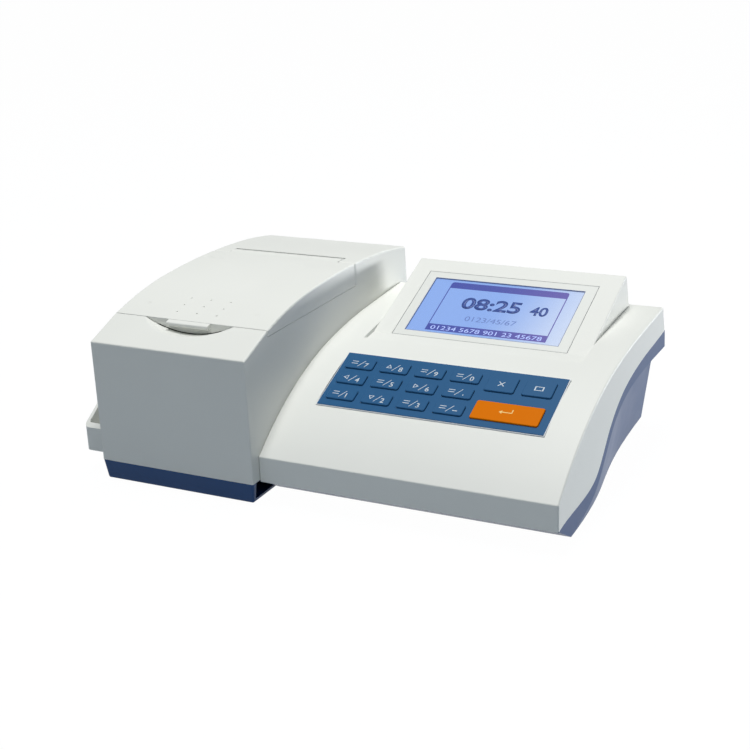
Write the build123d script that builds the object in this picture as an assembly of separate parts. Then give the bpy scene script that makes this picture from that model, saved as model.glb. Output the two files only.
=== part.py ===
from build123d import *
import os
from math import asin, cos, degrees, radians, sin, sqrt, tan

os.makedirs("parts", exist_ok=True)

# Bench turbidity meter: a sample chamber with a hinged lid on the left, and a low console with
# a display pod and a keypad on the right, on one base. Millimetres, X right, Y back, Z up.
# Pieces are modelled from the lower left front corner of the chamber. save() then moves them
# to the bench frame, whose origin is on the bench under the middle of the instrument.

# Main bodies
chamber_width = 116.7
console_width = 200.0
tray_width = 21.5
chamber_rear_low = 237.0
console_rear_low = 232.0
console_front = 8.2
wall = 2.6
edge_radius = 1.2
seam_gap = 0.5
fit_gap = 0.25
touch_gap = 0.05

# Sample chamber outline, seen from the side
base_top = 13.7
chamber_front_top = 96.3
slope_end_y = 29.3
slope_end_z = 107.2
chamber_slope = 16.34
chamber_arcs = ((277.2, 4.05), (660.0, -5.11), (355.0, -11.6))

# Console outline, seen from the side
console_lip_bottom = 12.9
console_lip_top = 29.95
console_slope = 39.0
console_arcs = ((231.2, 10.66), (401.5, 2.88))
console_top_y = 221.8
split_rear_y = 226.5
split_rear_z = 68.8
undercut_y = 30.8
undercut_step = 2.0

# Lid and its hinge
lid_split_z = 103.0
lid_rear_y = 150.5
tongue_inset = 13.5
tongue_rear_y = 161.5
slot_width = 1.8
hinge_drop = 4.3
hinge_back = 4.7
pin_radius = 1.5
pin_end_gap = 4.0
running_gap = 0.05
knuckle_gap = 0.3
tub_floor_z = 107.0
seam_round = 3.0
tab_width = 31.7
tab_reach = 3.9
tab_thick = 3.0
dimple_radius = 0.6
dimple_depth = 0.5
dimple_pitch = 15.2
dimple_ys = (38.8, 47.6, 56.7)

# Finger scoop in the slanted face
scoop_front_y = 14.5
scoop_rim_radius = 44.0
scoop_ball_radius = 72.0
scoop_soft_edge = 2.0

# Sample well and optics
deck_top = 96.0
deck_thick = 3.0
ledge_width = 3.4
well_y = 92.0
well_radius = 12.9
well_bottom = 28.0
holder_size = 46.0
holder_floor = 4.0
collar_radius = 18.0
collar_height = 2.0
beam_z = 50.0
port_radius = 3.0
optic_tube_radius = 9.0
optic_tube_length = 16.0
optic_tube_wall = 1.6
lens_radius = 5.5
lens_thick = 2.6
led_radius = 2.5
liner_z = 105.0
liner_thick = 2.0
liner_margin = 7.5
seal_width = 6.0
seal_gap = 0.3

# Keypad, laid out on its own slanted plane
keypad_y = 46.1
keypad_z = 55.85
keypad_tilt = 21.8
keypad_inset = 23.3
keypad_margin = 5.6
overlay_thick = 0.4
carrier_thick = 1.6
carrier_border = 0.6
seat_ledge = 2.0
key_rise = 1.0
key_travel = 0.8
key_width = 19.6
key_height = 9.7
key_column_start = 3.6
key_column_pitch = 24.95
key_rows = (5.7, 21.2, 36.0)
wide_key_row = 31.4
wide_key_height = 14.2
enter_row = 5.6
enter_height = 16.4
key_gap = 0.25
key_corner = 1.4
key_flange = 0.8
key_flange_thick = 1.0
key_stem_length = 2.0
switch_height = 3.2
board_thick = 1.6

# Display, laid out on its own slanted plane
display_y = 131.57
display_z = 78.14
display_tilt = 21.6
pod_margin_left = 13.6
pod_margin_right = 14.9
pod_length = 86.0
pod_rear_y = 221.0
bezel_inset = 36.5
bezel_thick = 0.8
window_width = 109.9
window_height = 58.7
bezel_border_left = 7.4
bezel_border_right = 8.0
bezel_border_low = 5.9
bezel_border_high = 6.8
glass_margin = 3.0
glass_thick = 2.2
module_side_margin = 10.0
module_depth = 6.0
module_skin = 1.8
module_screw_bite = 2.0
recess_floor_y = 120.0
recess_floor_z = 76.7
recess_front_y = 115.5

# Base moulding
base_wall = 2.5
base_inset = 1.6
base_corner = 1.6
hollow_lean = 9.0
hollow_round = 5.0
hollow_floor = (
    (20.0, 0.1),
    (60.0, 1.0),
    (98.0, 4.5),
    (120.0, 7.9),
    (148.0, 11.8),
    (195.0, 15.5),
    (245.0, 17.0),
)
band_curve = (
    (20.0, 4.8),
    (58.0, 7.0),
    (78.0, 13.5),
    (92.0, 26.5),
    (104.0, 38.4),
    (120.0, 47.2),
    (150.0, 54.2),
    (195.0, 56.8),
    (245.0, 57.2),
)
split_curve = ((60.0, 15.4), (77.0, 19.2), (98.4, 36.8), (125.8, 54.6), (150.0, 61.6), (180.0, 65.6))
post_radius = 3.6
post_foot_z = 8.0
screw_radius = 1.5
screw_head_radius = 3.0
screw_head_height = 2.0
screw_seat = 2.8
screw_bite = 8.0
chamber_post_inset = 11.2
chamber_post_front = 12.5
chamber_post_rear = 15.0
console_post_left = 12.3
console_post_front = 40.0
console_post_right = 16.7
console_post_rear = 16.0
console_post_rear_right = 30.7
foot_radius = 7.5
foot_rise = 3.0
foot_socket = 1.0
foot_left = 24.0
foot_front = 16.0
foot_rear = 17.0
foot_right = 16.7
foot_right_front = 54.0
foot_right_rear_inset = 44.7

# Side tray
tray_front_y = 10.0
tray_length = 140.0
tray_front_top = 30.3
tray_rim_slope = 33.0
tray_rim_top = 58.0
tray_wall = 2.4
tray_front_wall = 3.5
tray_corner = 4.0

# Boards and rear sockets
main_board_size = (148.0, 96.0)
main_board_margin = 18.7
main_board_front = 78.0
standoff_height = 5.0
standoff_radius = 3.0
standoff_inset = 5.0
optics_board_size = (84.0, 62.0)
optics_board_margin = 16.7
optics_board_front = 134.0
cable_spot = (145.0, 163.0)
cable_plug_inset = 3.0
cable_plug_width = 6.0
cable_plug_height = 4.0
cable_thick = 1.0
socket_z = 34.0
socket_recess = 6.0
recess_inset = 31.3
recess_width = 108.0
recess_bottom = 17.0
recess_height = 36.0
serial_offset = 24.0
rocker_offset = 62.0
inlet_offset = 90.0
rocker_size = (13.0, 19.0)
rocker_frame = 2.0
rocker_tilt = 9.0
rocker_pin = 1.2
jack_radius = 5.5
jack_bore = 3.2
jack_pin = 1.0
jack_depth = 12.0

# Packages on the main board: share of its width and depth, then width, depth and height
chips = (
    (0.42, 0.5, 20.0, 20.0, 2.0),
    (0.66, 0.52, 12.0, 8.0, 1.8),
    (0.66, 0.31, 12.0, 8.0, 1.8),
    (0.23, 0.73, 10.0, 10.0, 2.2),
    (0.16, 0.27, 16.0, 9.0, 8.5),
    (0.85, 0.65, 9.0, 22.0, 7.0),
    (0.45, 0.9, 34.0, 6.0, 8.0),
)
capacitors = ((0.7, 0.8), (0.78, 0.8))
capacitor_radius = 4.0
capacitor_height = 11.0
battery_spot = (0.865, 0.27)
battery_radius = 10.0
battery_thick = 2.2
battery_seat = 2.4
shield_spot = (0.5, 0.52)
shield_size = (40.0, 28.0, 9.0)
shield_skin = 0.8

# Sizes that follow from the ones above
console_left = chamber_width
console_right = chamber_width + console_width
tongue_z_top = 118.9
tongue_left = tongue_inset
tongue_right = chamber_width - tongue_inset
well_x = chamber_width / 2
scoop_x = well_x
tab_left = well_x - tab_width / 2
tab_right = well_x + tab_width / 2
dimple_xs = (well_x - dimple_pitch, well_x, well_x + dimple_pitch)
axis_y = tongue_rear_y - hinge_back
axis_z = tongue_z_top - hinge_drop
slot_rear_y = tongue_rear_y + slot_width
front_slope = 20.4
bench_x = (console_right - tray_width) / 2
bench_y = chamber_rear_low / 2
carrier_depth = overlay_thick + carrier_thick
opening_floor = carrier_depth + wall
column_xs = [key_column_start + key_column_pitch * i for i in range(6)]
keypad_left = console_left + keypad_inset
keypad_width = column_xs[-1] + key_width + keypad_margin
keypad_height = key_rows[-1] + key_height + keypad_margin
bezel_left = console_left + bezel_inset
bezel_width = bezel_border_left + window_width + bezel_border_right
bezel_height = bezel_border_low + window_height + bezel_border_high
window_left = bezel_left + bezel_border_left
window_start = bezel_border_low
pod_left = bezel_left - pod_margin_left
pod_right = bezel_left + bezel_width + pod_margin_right
main_board_at = (console_right - main_board_margin - main_board_size[0], main_board_front)
optics_board_at = (chamber_width - optics_board_margin - optics_board_size[0], optics_board_front)
recess_left = console_left + recess_inset
serial_x = recess_left + serial_offset
rocker_x = recess_left + rocker_offset
inlet_x = recess_left + inlet_offset
chamber_posts = [
    (x, y)
    for y in (chamber_post_front, chamber_rear_low - chamber_post_rear)
    for x in (chamber_post_inset, chamber_width - chamber_post_inset)
]
console_posts = [
    (console_left + console_post_left, console_post_front),
    (console_right - console_post_right, console_post_front),
    (console_left + console_post_left, console_rear_low - console_post_rear),
    (console_right - console_post_rear_right, console_rear_low - console_post_rear),
]
foot_spots = (
    (foot_left, foot_front),
    (foot_left, chamber_rear_low - foot_rear),
    (console_right - foot_right, foot_right_front),
    (console_right - foot_right_rear_inset, console_rear_low - foot_rear),
)


def save(name, shape):
    """Move the solids of a piece to the bench frame and write them."""
    to_bench = Pos(-bench_x, -bench_y, foot_rise)
    moved = [to_bench * solid for solid in shape.solids()]
    export_step(moved[0] if len(moved) == 1 else Compound(children=moved), f"parts/{name}.step")


def block(x0, x1, y0, y1, z0, z1):
    """A box between two corners."""
    return Pos((x0 + x1) / 2, (y0 + y1) / 2, (z0 + z1) / 2) * Box(x1 - x0, y1 - y0, z1 - z0)


def rod(radius, start, direction, length):
    """A round bar from a start point along a direction."""
    return extrude(Plane(origin=start, z_dir=direction) * Circle(radius), length)


def side_face(edges):
    """A closed outline drawn in Y and Z."""
    return Face(Wire(edges))


def across(face, x0, x1):
    """Stretch a side outline from x0 to x1."""
    plane = Plane(origin=(x0, 0, 0), x_dir=(0, 1, 0), z_dir=(1, 0, 0))
    return extrude(plane * face, x1 - x0, dir=(1, 0, 0))


def polygon(points):
    """The edges of a closed polygon in Y and Z."""
    return Polyline(*points, close=True).edges()


def crown(start, slope, arcs, inset=0.0):
    """Tangent arcs of a domed top, moved inward by the inset, and the end point and slope."""
    lean = radians(slope)
    point = (start[0] + inset * sin(lean), start[1] - inset * cos(lean))
    edges = []
    for radius, end_slope in arcs:
        tangent = (cos(radians(slope)), sin(radians(slope)))
        arc = JernArc(point, tangent, radius - inset, end_slope - slope)
        edges.append(arc.edge())
        point = (arc.end_of_arc.X, arc.end_of_arc.Y)
        slope = end_slope
    return edges, point, slope


def soft_edges(shape, low_z, front_y, rear_y):
    """Edges to round on a stretched outline: both flat ends, and its front and rear top."""
    box = shape.bounding_box()
    edges = []
    for edge in shape.edges():
        center = edge.center()
        if center.Z < low_z or edge.geom_type == GeomType.BSPLINE:
            continue
        on_end = min(abs(center.X - box.min.X), abs(center.X - box.max.X)) < 0.01
        on_top = abs(center.Y - front_y) < 0.1 or abs(center.Y - rear_y) < 0.1
        if on_end or on_top and edge.bounding_box().size.Z < 0.01:
            edges.append(edge)
    return edges


def chamber_form(inset=0.0):
    """The whole white form of the chamber, lid included, or its inside."""
    lean = radians(front_slope)
    edges, end, _ = crown((slope_end_y, slope_end_z), chamber_slope, chamber_arcs, inset)
    first = edges[0].position_at(0)
    shoulder_z = chamber_front_top - inset / cos(lean) + inset * tan(lean)
    bottom = base_top if inset == 0.0 else base_top - 1.0
    corners = [
        (end[0], end[1]),
        (chamber_rear_low - inset, bottom),
        (inset, bottom),
        (inset, shoulder_z),
        (first.X, first.Y),
    ]
    if inset:
        corners[0] = (end[0] - inset, end[1])
        corners.insert(0, end)
    sides = [Line(a, b).edge() for a, b in zip(corners, corners[1:])]
    form = across(side_face(edges + sides), inset, chamber_width - inset)
    if inset:
        return form
    return fillet(soft_edges(form, base_top + 1.0, 0.0, end[0]), edge_radius)


def scoop_ball(grow=0.0):
    """The ball that carves the finger scoop, grown or shrunk about the same centre."""
    lean = radians(front_slope)
    along = scoop_front_y / cos(lean) + scoop_rim_radius
    height = sqrt(scoop_ball_radius**2 - scoop_rim_radius**2)
    y = along * cos(lean) - height * sin(lean)
    z = chamber_front_top + along * sin(lean) + height * cos(lean)
    return Pos(scoop_x, y, z) * Sphere(scoop_ball_radius + grow)


def chamber_inside():
    """Hollow of the chamber, less what thickens the scoop, the lip and the hinge tub."""
    inside = chamber_form(wall)
    inside -= scoop_ball(wall)
    ceiling = slope_end_z + 40
    inside -= block(0, chamber_width, slope_end_y - wall, slope_end_y, deck_top - deck_thick, ceiling)
    inside -= block(
        0, chamber_width, lid_rear_y, lid_rear_y + wall, deck_top - deck_thick, tub_floor_z
    )
    inside -= block(
        0, chamber_width, lid_rear_y, slot_rear_y + wall, tub_floor_z - wall, ceiling
    )
    return inside


def ledges():
    """Two rails on the side walls that carry the deck."""
    top = deck_top - deck_thick
    front, rear = slope_end_y - wall, lid_rear_y + wall
    left = block(wall, wall + ledge_width, front, rear, top - ledge_width, top)
    right = block(
        chamber_width - wall - ledge_width, chamber_width - wall, front, rear, top - ledge_width, top
    )
    return left + right


def posts(spots, roof):
    """Screw posts from the base bosses up into a cover."""
    tall = slope_end_z + 40
    made = [rod(post_radius, (x, y, post_foot_z), (0, 0, 1), tall) for x, y in spots]
    return [post & roof for post in made]


def post_holes(spots):
    """Core holes for the base screws."""
    depth = screw_bite + 1.0
    return [
        rod(screw_radius + touch_gap, (x, y, post_foot_z - 1.0), (0, 0, 1), depth + 1.0)
        for x, y in spots
    ]


def make_chamber_housing():
    """White chamber shell: slanted front with the scoop, hinge tub and rear roof."""
    form = chamber_form()
    reach = 10.0
    ceiling = slope_end_z + 40
    lid_zone = block(
        -reach, chamber_width + reach, slope_end_y, lid_rear_y, lid_split_z, ceiling
    )
    tub = block(
        tongue_left - knuckle_gap,
        tongue_right + knuckle_gap,
        lid_rear_y - 1.0,
        slot_rear_y,
        tub_floor_z,
        ceiling,
    )
    housing = form - lid_zone - tub
    seam = [
        edge
        for edge in housing.edges().filter_by(Axis.X)
        if abs(edge.center().Y - lid_rear_y) < 0.1 and edge.center().Z > tub_floor_z + 5
    ]
    housing = fillet(seam, seam_round)
    housing -= scoop_ball()
    rim = [
        edge
        for edge in housing.edges().filter_by(GeomType.CIRCLE)
        if abs(edge.radius - scoop_rim_radius) < 1.0 and edge.center().Y < slope_end_y
    ]
    housing = fillet(rim, scoop_soft_edge)
    housing -= chamber_inside()
    housing -= block(
        wall, chamber_width - wall, slope_end_y, lid_rear_y, deck_top - deck_thick, lid_split_z + 1
    )
    housing += ledges()
    front_room = block(0, chamber_width, 0, slope_end_y, 0, ceiling)
    rear_room = block(0, chamber_width, slot_rear_y, chamber_rear_low, 0, ceiling)
    front_posts = posts(chamber_posts[:2], form & front_room)
    rear_posts = posts(chamber_posts[2:], form & rear_room)
    housing += front_posts + rear_posts
    pin_length = chamber_width - pin_end_gap + 1
    pin_hole = rod(pin_radius + touch_gap, (-1, axis_y, axis_z), (1, 0, 0), pin_length)
    housing -= post_holes(chamber_posts) + tray_screw_holes() + [pin_hole]
    return housing


def make_lid():
    """Chamber lid: domed cover with skirts, finger tab, front apron and hinge tongue."""
    form = chamber_form()
    front = slope_end_y + seam_gap
    rear = lid_rear_y - seam_gap
    low = lid_split_z + fit_gap
    ceiling = slope_end_z + 40
    lid = form & block(-1, chamber_width + 1, front, rear, low, ceiling)
    hollow = chamber_form(wall) & block(0, chamber_width, front + wall, rear - wall, 0, ceiling)
    lid -= hollow
    apron = block(wall, chamber_width - wall, front, front + wall, deck_top, low + 1)
    lid += apron & scoop_ball(-seam_gap)
    plate = form & block(tongue_left, tongue_right, rear - wall, tongue_rear_y, axis_z, ceiling)
    tail = [
        edge
        for edge in plate.edges().filter_by(Axis.X)
        if abs(edge.center().Y - tongue_rear_y) < 0.01 and edge.center().Z > axis_z + 1
    ]
    plate = fillet(tail, 0.8)
    lid += plate
    lid += rod(hinge_back, (tongue_left, axis_y, axis_z), (1, 0, 0), tongue_right - tongue_left)
    lid += make_tab(front)
    for x, y in liner_screw_spots():
        boss = rod(post_radius, (x, y, liner_z + liner_thick), (0, 0, 1), 20)
        lid += boss & form & block(0, chamber_width, front, rear, low, ceiling)
        lid -= rod(screw_radius + touch_gap, (x, y, liner_z), (0, 0, 1), liner_thick + 4.5)
    for x in dimple_xs:
        for y in dimple_ys:
            top = crown_height(y)
            lid -= rod(dimple_radius, (x, y, top - dimple_depth), (0, 0, 1), 3)
    lid -= rod(pin_radius + running_gap, (0, axis_y, axis_z), (1, 0, 0), chamber_width)
    return lid


def crown_height(y):
    """Height of the chamber's domed top on its first arc."""
    radius = chamber_arcs[0][0]
    lean = radians(chamber_slope)
    center_y = slope_end_y + radius * sin(lean)
    center_z = slope_end_z - radius * cos(lean)
    return center_z + sqrt(radius**2 - (y - center_y) ** 2)


def make_tab(front):
    """Finger tab that carries the lid's top surface forward over the scoop."""
    fall = tan(radians(chamber_slope))
    top = crown_height(front)
    root = front + wall
    points = [
        (root, top + wall * fall - 0.3),
        (front - tab_reach, top - tab_reach * fall),
        (front - tab_reach, top - tab_reach * fall - tab_thick),
        (root, top + wall * fall - tab_thick),
    ]
    tab = across(side_face(polygon(points)), tab_left, tab_right)
    nose = [
        edge
        for edge in tab.edges().filter_by(Axis.X)
        if abs(edge.center().Y - (front - tab_reach)) < 0.01
    ]
    return fillet(nose, 1.2)


def liner_screw_spots():
    """Corners where the liner is screwed to the lid."""
    inset = liner_margin + post_radius + 3.0
    xs = (wall + inset, chamber_width - wall - inset)
    ys = (slope_end_y + wall + inset, lid_rear_y - wall - inset)
    return [(x, y) for x in xs for y in ys]


def make_lid_liner():
    """Black plate under the lid that carries the light seal."""
    plate = block(
        wall + liner_margin,
        chamber_width - wall - liner_margin,
        slope_end_y + wall + liner_margin,
        lid_rear_y - wall - liner_margin,
        liner_z,
        liner_z + liner_thick,
    )
    plate = fillet(plate.edges().filter_by(Axis.Z), 5.0)
    for x, y in liner_screw_spots():
        plate -= rod(screw_radius + touch_gap, (x, y, liner_z - 1), (0, 0, 1), liner_thick + 2)
    return plate


def make_lid_screws():
    """Four small screws of the liner."""
    screws = []
    for x, y in liner_screw_spots():
        shank = rod(screw_radius, (x, y, liner_z), (0, 0, 1), liner_thick + 4)
        head = rod(screw_head_radius, (x, y, liner_z - 1.2), (0, 0, 1), 1.2)
        screws.append(shank + head)
    return Compound(children=screws)


def make_light_seal():
    """Foam ring on the liner that closes over the well's collar."""
    low = deck_top + collar_height + seal_gap
    ring = Circle(collar_radius + seal_width / 2) - Circle(collar_radius - seal_width / 2)
    return extrude(Plane(origin=(well_x, well_y, low)) * ring, liner_z - low)


def make_deck():
    """Dark deck inside the chamber, with the hole of the sample well."""
    low = deck_top - deck_thick
    deck = block(wall, chamber_width - wall, slope_end_y, lid_rear_y, low, deck_top)
    return deck - rod(well_radius, (well_x, well_y, low - 1), (0, 0, 1), deck_thick + 2)


def make_collar():
    """Raised collar round the mouth of the well."""
    ring = Circle(collar_radius) - Circle(well_radius)
    collar = extrude(Plane(origin=(well_x, well_y, deck_top)) * ring, collar_height)
    outer = collar.edges().filter_by(GeomType.CIRCLE).sort_by(Axis.Z)[-2:]
    rim = [edge for edge in outer if edge.radius > well_radius + 1]
    return chamfer(rim, 0.6)


def optic_stations():
    """Where lamp and detectors stand: start point on the holder and outward direction."""
    half = holder_size / 2
    return {
        "lamp": ((well_x - half, well_y, beam_z), (-1, 0, 0)),
        "transmission": ((well_x + half, well_y, beam_z), (1, 0, 0)),
        "scatter": ((well_x, well_y + half, beam_z), (0, 1, 0)),
    }


def make_cell_holder():
    """Block with the sample well, and a port for the beam and each detector."""
    half = holder_size / 2
    low, top = well_bottom - holder_floor, deck_top - deck_thick
    holder = block(well_x - half, well_x + half, well_y - half, well_y + half, low, top)
    holder = chamfer(holder.edges().filter_by(Axis.Z), 4.0)
    holder -= rod(well_radius, (well_x, well_y, well_bottom), (0, 0, 1), top)
    for start, direction in optic_stations().values():
        inward = tuple(-part for part in direction)
        holder -= rod(port_radius, start, inward, half)
    for x in (well_x - half + 6.5, well_x + half - 6.5):
        for y in (well_y - half + 6.5, well_y + half - 6.5):
            foot = rod(post_radius, (x, y, base_wall), (0, 0, 1), low - base_wall)
            holder += foot
    return holder


def make_optic_tube(name):
    """Short tube that holds a lamp or detector against the holder."""
    start, direction = optic_stations()[name]
    plane = Plane(origin=start, z_dir=direction)
    tube = extrude(plane * Circle(optic_tube_radius), optic_tube_length)
    seat = port_radius + 0.4
    tube -= extrude(plane * Circle(seat), optic_tube_length)
    inner = optic_tube_radius - optic_tube_wall
    tube -= extrude(plane.offset(lens_thick + 2.0) * Circle(inner), optic_tube_length)
    tube -= extrude(plane.offset(2.0) * Circle(lens_radius + touch_gap), lens_thick)
    return tube


def make_lens():
    """Plano-convex lens in front of the lamp."""
    start, direction = optic_stations()["lamp"]
    plane = Plane(origin=start, z_dir=direction).offset(2.0)
    return extrude(plane * Circle(lens_radius), lens_thick)


def make_sensor_cap(name, body_radius):
    """Round carrier plate with its lamp or sensor, closing the outer end of a tube."""
    start, direction = optic_stations()[name]
    plane = Plane(origin=start, z_dir=direction).offset(optic_tube_length)
    plate = extrude(plane * Circle(optic_tube_radius), board_thick)
    can = extrude(plane.offset(-5.0) * Circle(body_radius), 5.0)
    return plate + can


def console_face():
    """Side outline of the console cover, its lower edge on the split with the base."""
    edges, end, slope = crown((console_front, console_lip_top), console_slope, console_arcs)
    top = (console_top_y, end[1] + (console_top_y - end[0]) * tan(radians(slope)))
    lower = Spline(*split_points())
    sides = [
        Line(end, top).edge(),
        Line(top, (split_rear_y, split_rear_z)).edge(),
        lower.edge(),
        Line((console_front, console_lip_bottom), (console_front, console_lip_top)).edge(),
    ]
    return side_face(edges + sides), top


def split_points():
    """Points of the joint line between cover and base, front to back."""
    return ((console_front, console_lip_bottom),) + split_curve + ((split_rear_y, split_rear_z),)


def display_plane():
    """Plane of the display face. Its X is the instrument's X."""
    lean = radians(display_tilt)
    return Plane(origin=(0, display_y, display_z), x_dir=(1, 0, 0), z_dir=(0, -sin(lean), cos(lean)))


def keypad_plane():
    """Plane of the keypad's top. Its X starts at the keypad's left edge."""
    lean = radians(keypad_tilt)
    return Plane(
        origin=(keypad_left, keypad_y, keypad_z), x_dir=(1, 0, 0), z_dir=(0, -sin(lean), cos(lean))
    )


def on_plane(plane, x0, x1, s0, s1, n0, n1, corner=0.0):
    """A plate on a slanted plane, between two corners and two depths."""
    spot = plane.offset(n0) * Pos((x0 + x1) / 2, (s0 + s1) / 2)
    if corner:
        return extrude(spot * RectangleRounded(x1 - x0, s1 - s0, corner), n1 - n0)
    return extrude(spot * Rectangle(x1 - x0, s1 - s0), n1 - n0)


def pod_form(inset=0.0):
    """Wedge that lifts the display out of the console's top."""
    lean = radians(display_tilt)
    tip = (display_y + pod_length * cos(lean), display_z + pod_length * sin(lean))
    drop = inset / cos(lean)
    root_z = display_z - 12.0
    points = [
        (display_y, display_z - drop),
        (tip[0] - inset, tip[1] - drop - inset * tan(lean)),
        (pod_rear_y - inset, root_z + 12.0),
        (pod_rear_y - inset, root_z),
        (display_y, root_z),
    ]
    return across(side_face(polygon(points)), pod_left + inset, pod_right - inset)


def front_recess(deepen=0.0):
    """Shallow recess that leads from the console's top down to the display's lower edge."""
    lean = radians(display_tilt)
    reach = 20.0
    points = [
        (recess_front_y, recess_floor_z + 2.0 - deepen),
        (recess_floor_y, recess_floor_z - deepen),
        (display_y, display_z - deepen),
        (display_y + reach * cos(lean), display_z + reach * sin(lean) - deepen),
        (display_y + reach * cos(lean), display_z + reach),
        (recess_front_y, display_z + reach),
    ]
    return across(side_face(polygon(points)), pod_left - deepen, pod_right + deepen)


def console_inside(top):
    """Hollow of the console cover, less what thickens the keypad and the display."""
    edges, end, slope = crown((console_front, console_lip_top), console_slope, console_arcs, wall)
    lean = radians(slope)
    roof = (top[0] - wall, end[1] + (top[0] - wall - end[0]) * tan(lean))
    first = edges[0].position_at(0)
    corners = [end, roof, (split_rear_y - wall, split_rear_z), (split_rear_y - wall, 0)]
    corners += [(first.X, 0), (first.X, first.Y)]
    sides = [Line(a, b).edge() for a, b in zip(corners, corners[1:])]
    inside = across(side_face(edges + sides), console_left + wall, console_right - wall)
    inside -= block(console_left, console_right, 0, console_front + wall, -1, split_rear_z)
    inside += pod_form(wall)
    inside -= front_recess(wall)
    pad = keypad_plane()
    inside -= on_plane(
        pad, -wall, keypad_width + wall, -wall, keypad_height + wall, -opening_floor, 20
    )
    face = display_plane()
    inside -= on_plane(
        face, bezel_left - wall, bezel_left + bezel_width + wall, 0, bezel_height, -3.0, 20
    )
    return inside


def make_console_cover():
    """White console shell with the display pod, keypad seat and screw posts."""
    face, top = console_face()
    crown_block = across(face, console_left, console_right)
    rounded = soft_edges(crown_block, console_lip_bottom + 1.0, console_front, console_top_y)
    crown_block = fillet(rounded, edge_radius)
    pod = pod_form()
    pod_tip_y = display_y + pod_length * cos(radians(display_tilt))
    pod = fillet(soft_edges(pod, display_z + 5.0, pod_tip_y, pod_tip_y), 0.8)
    form = (crown_block - front_recess()) + pod
    cover = form - console_inside(top)
    pad = keypad_plane()
    cover -= on_plane(
        pad,
        -carrier_border - fit_gap,
        keypad_width + carrier_border + fit_gap,
        -carrier_border - fit_gap,
        keypad_height + carrier_border + fit_gap,
        -carrier_depth,
        20,
    )
    cover -= on_plane(
        pad, seat_ledge, keypad_width - seat_ledge, seat_ledge, keypad_height - seat_ledge, -20, 20
    )
    plane = display_plane()
    right = bezel_left + bezel_width
    cover -= on_plane(
        plane, bezel_left - fit_gap, right + fit_gap, -fit_gap, bezel_height + fit_gap, -bezel_thick, 9
    )
    glass = glass_box(fit_gap)
    cover -= on_plane(plane, *glass, -20, 9)
    face_n = -module_face()
    spots = module_screw_spots()
    cover += posts(console_posts, form)
    cover += [on_plane(plane, x - 3, x + 3, s - 3, s + 3, face_n, -2.0) for x, s in spots]
    hole_radius = screw_radius + touch_gap
    hole_depth = module_screw_bite + 0.3
    holes = [rod_on(plane, hole_radius, x, s, face_n - 1, hole_depth + 1) for x, s in spots]
    cover -= holes + post_holes(console_posts)
    return cover


def rod_on(plane, radius, x, s, n0, length):
    """A round bar that stands on a slanted plane."""
    return extrude(plane.offset(n0) * Pos(x, s) * Circle(radius), length)


def glass_box(grow):
    """Outline of the display glass on the display plane."""
    return (
        window_left - glass_margin - grow,
        window_left + window_width + glass_margin + grow,
        window_start - glass_margin - grow,
        window_start + window_height + glass_margin + grow,
    )


def module_face():
    """Depth of the module's front below the display face."""
    return bezel_thick + touch_gap + glass_thick


def module_box():
    """Outline of the display module's board on the display plane."""
    left, right, low, high = glass_box(0)
    return left - module_side_margin, right + module_side_margin, low - 1.5, high + 7.0


def module_screw_spots():
    """Corners where the display module is screwed to the cover."""
    left, right, low, high = module_box()
    return [(x, s) for x in (left + 3.5, right - 3.5) for s in (low + 5.0, high - 3.5)]


def make_display_bezel():
    """Thin printed frame round the display."""
    right = bezel_left + bezel_width
    plate = on_plane(display_plane(), bezel_left, right, 0, bezel_height, -bezel_thick, 0)
    hole = window_hole(0.0)
    return plate - on_plane(display_plane(), *hole, -5, 5)


def window_hole(shrink):
    """Outline of the clear window on the display plane."""
    return (
        window_left + shrink,
        window_left + window_width - shrink,
        window_start + shrink,
        window_start + window_height - shrink,
    )


def make_display_window():
    """Clear window that fills the bezel's opening."""
    return on_plane(display_plane(), *window_hole(touch_gap), -bezel_thick, -0.15)


def make_display_glass():
    """Liquid crystal panel under the window."""
    low = -module_face()
    return on_plane(display_plane(), *glass_box(0), low, low + glass_thick)


def make_display_module():
    """Board and metal frame behind the panel."""
    plane = display_plane()
    box = module_box()
    face = -module_face()
    board = on_plane(plane, *box, face - module_skin, face)
    left, right, low, high = glass_box(0)
    back = face - module_skin
    board += on_plane(plane, left, right, low + 4, high - 4, back - module_depth, back)
    for x, s in module_screw_spots():
        board -= rod_on(plane, screw_radius + touch_gap, x, s, back - 1, module_skin + 2)
    return board


def make_module_screws():
    """Four screws that hold the display module."""
    plane = display_plane()
    back = -module_face() - module_skin
    screws = []
    for x, s in module_screw_spots():
        shank = rod_on(plane, screw_radius, x, s, back, module_skin + module_screw_bite)
        head = rod_on(plane, 2.6, x, s, back - 1.4, 1.4)
        screws.append(shank + head)
    return Compound(children=screws)


def key_boxes():
    """Outline of every key on the keypad plane, by name."""
    names = (("1", "2", "3", "minus"), ("4", "5", "6", "point"), ("7", "8", "9", "0"))
    boxes = {}
    for row, row_names in zip(key_rows, names):
        for x, name in zip(column_xs, row_names):
            boxes[f"key_{name}"] = (x, x + key_width, row, row + key_height)
    wide_top = wide_key_row + wide_key_height
    for x, name in zip(column_xs[4:], ("clear", "cancel")):
        boxes[f"key_{name}"] = (x, x + key_width, wide_key_row, wide_top)
    enter_right = column_xs[5] + key_width
    boxes["key_enter"] = (column_xs[4], enter_right, enter_row, enter_row + enter_height)
    return boxes


def grown(box, by):
    """An outline moved out on all sides."""
    return box[0] - by, box[1] + by, box[2] - by, box[3] + by


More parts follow.
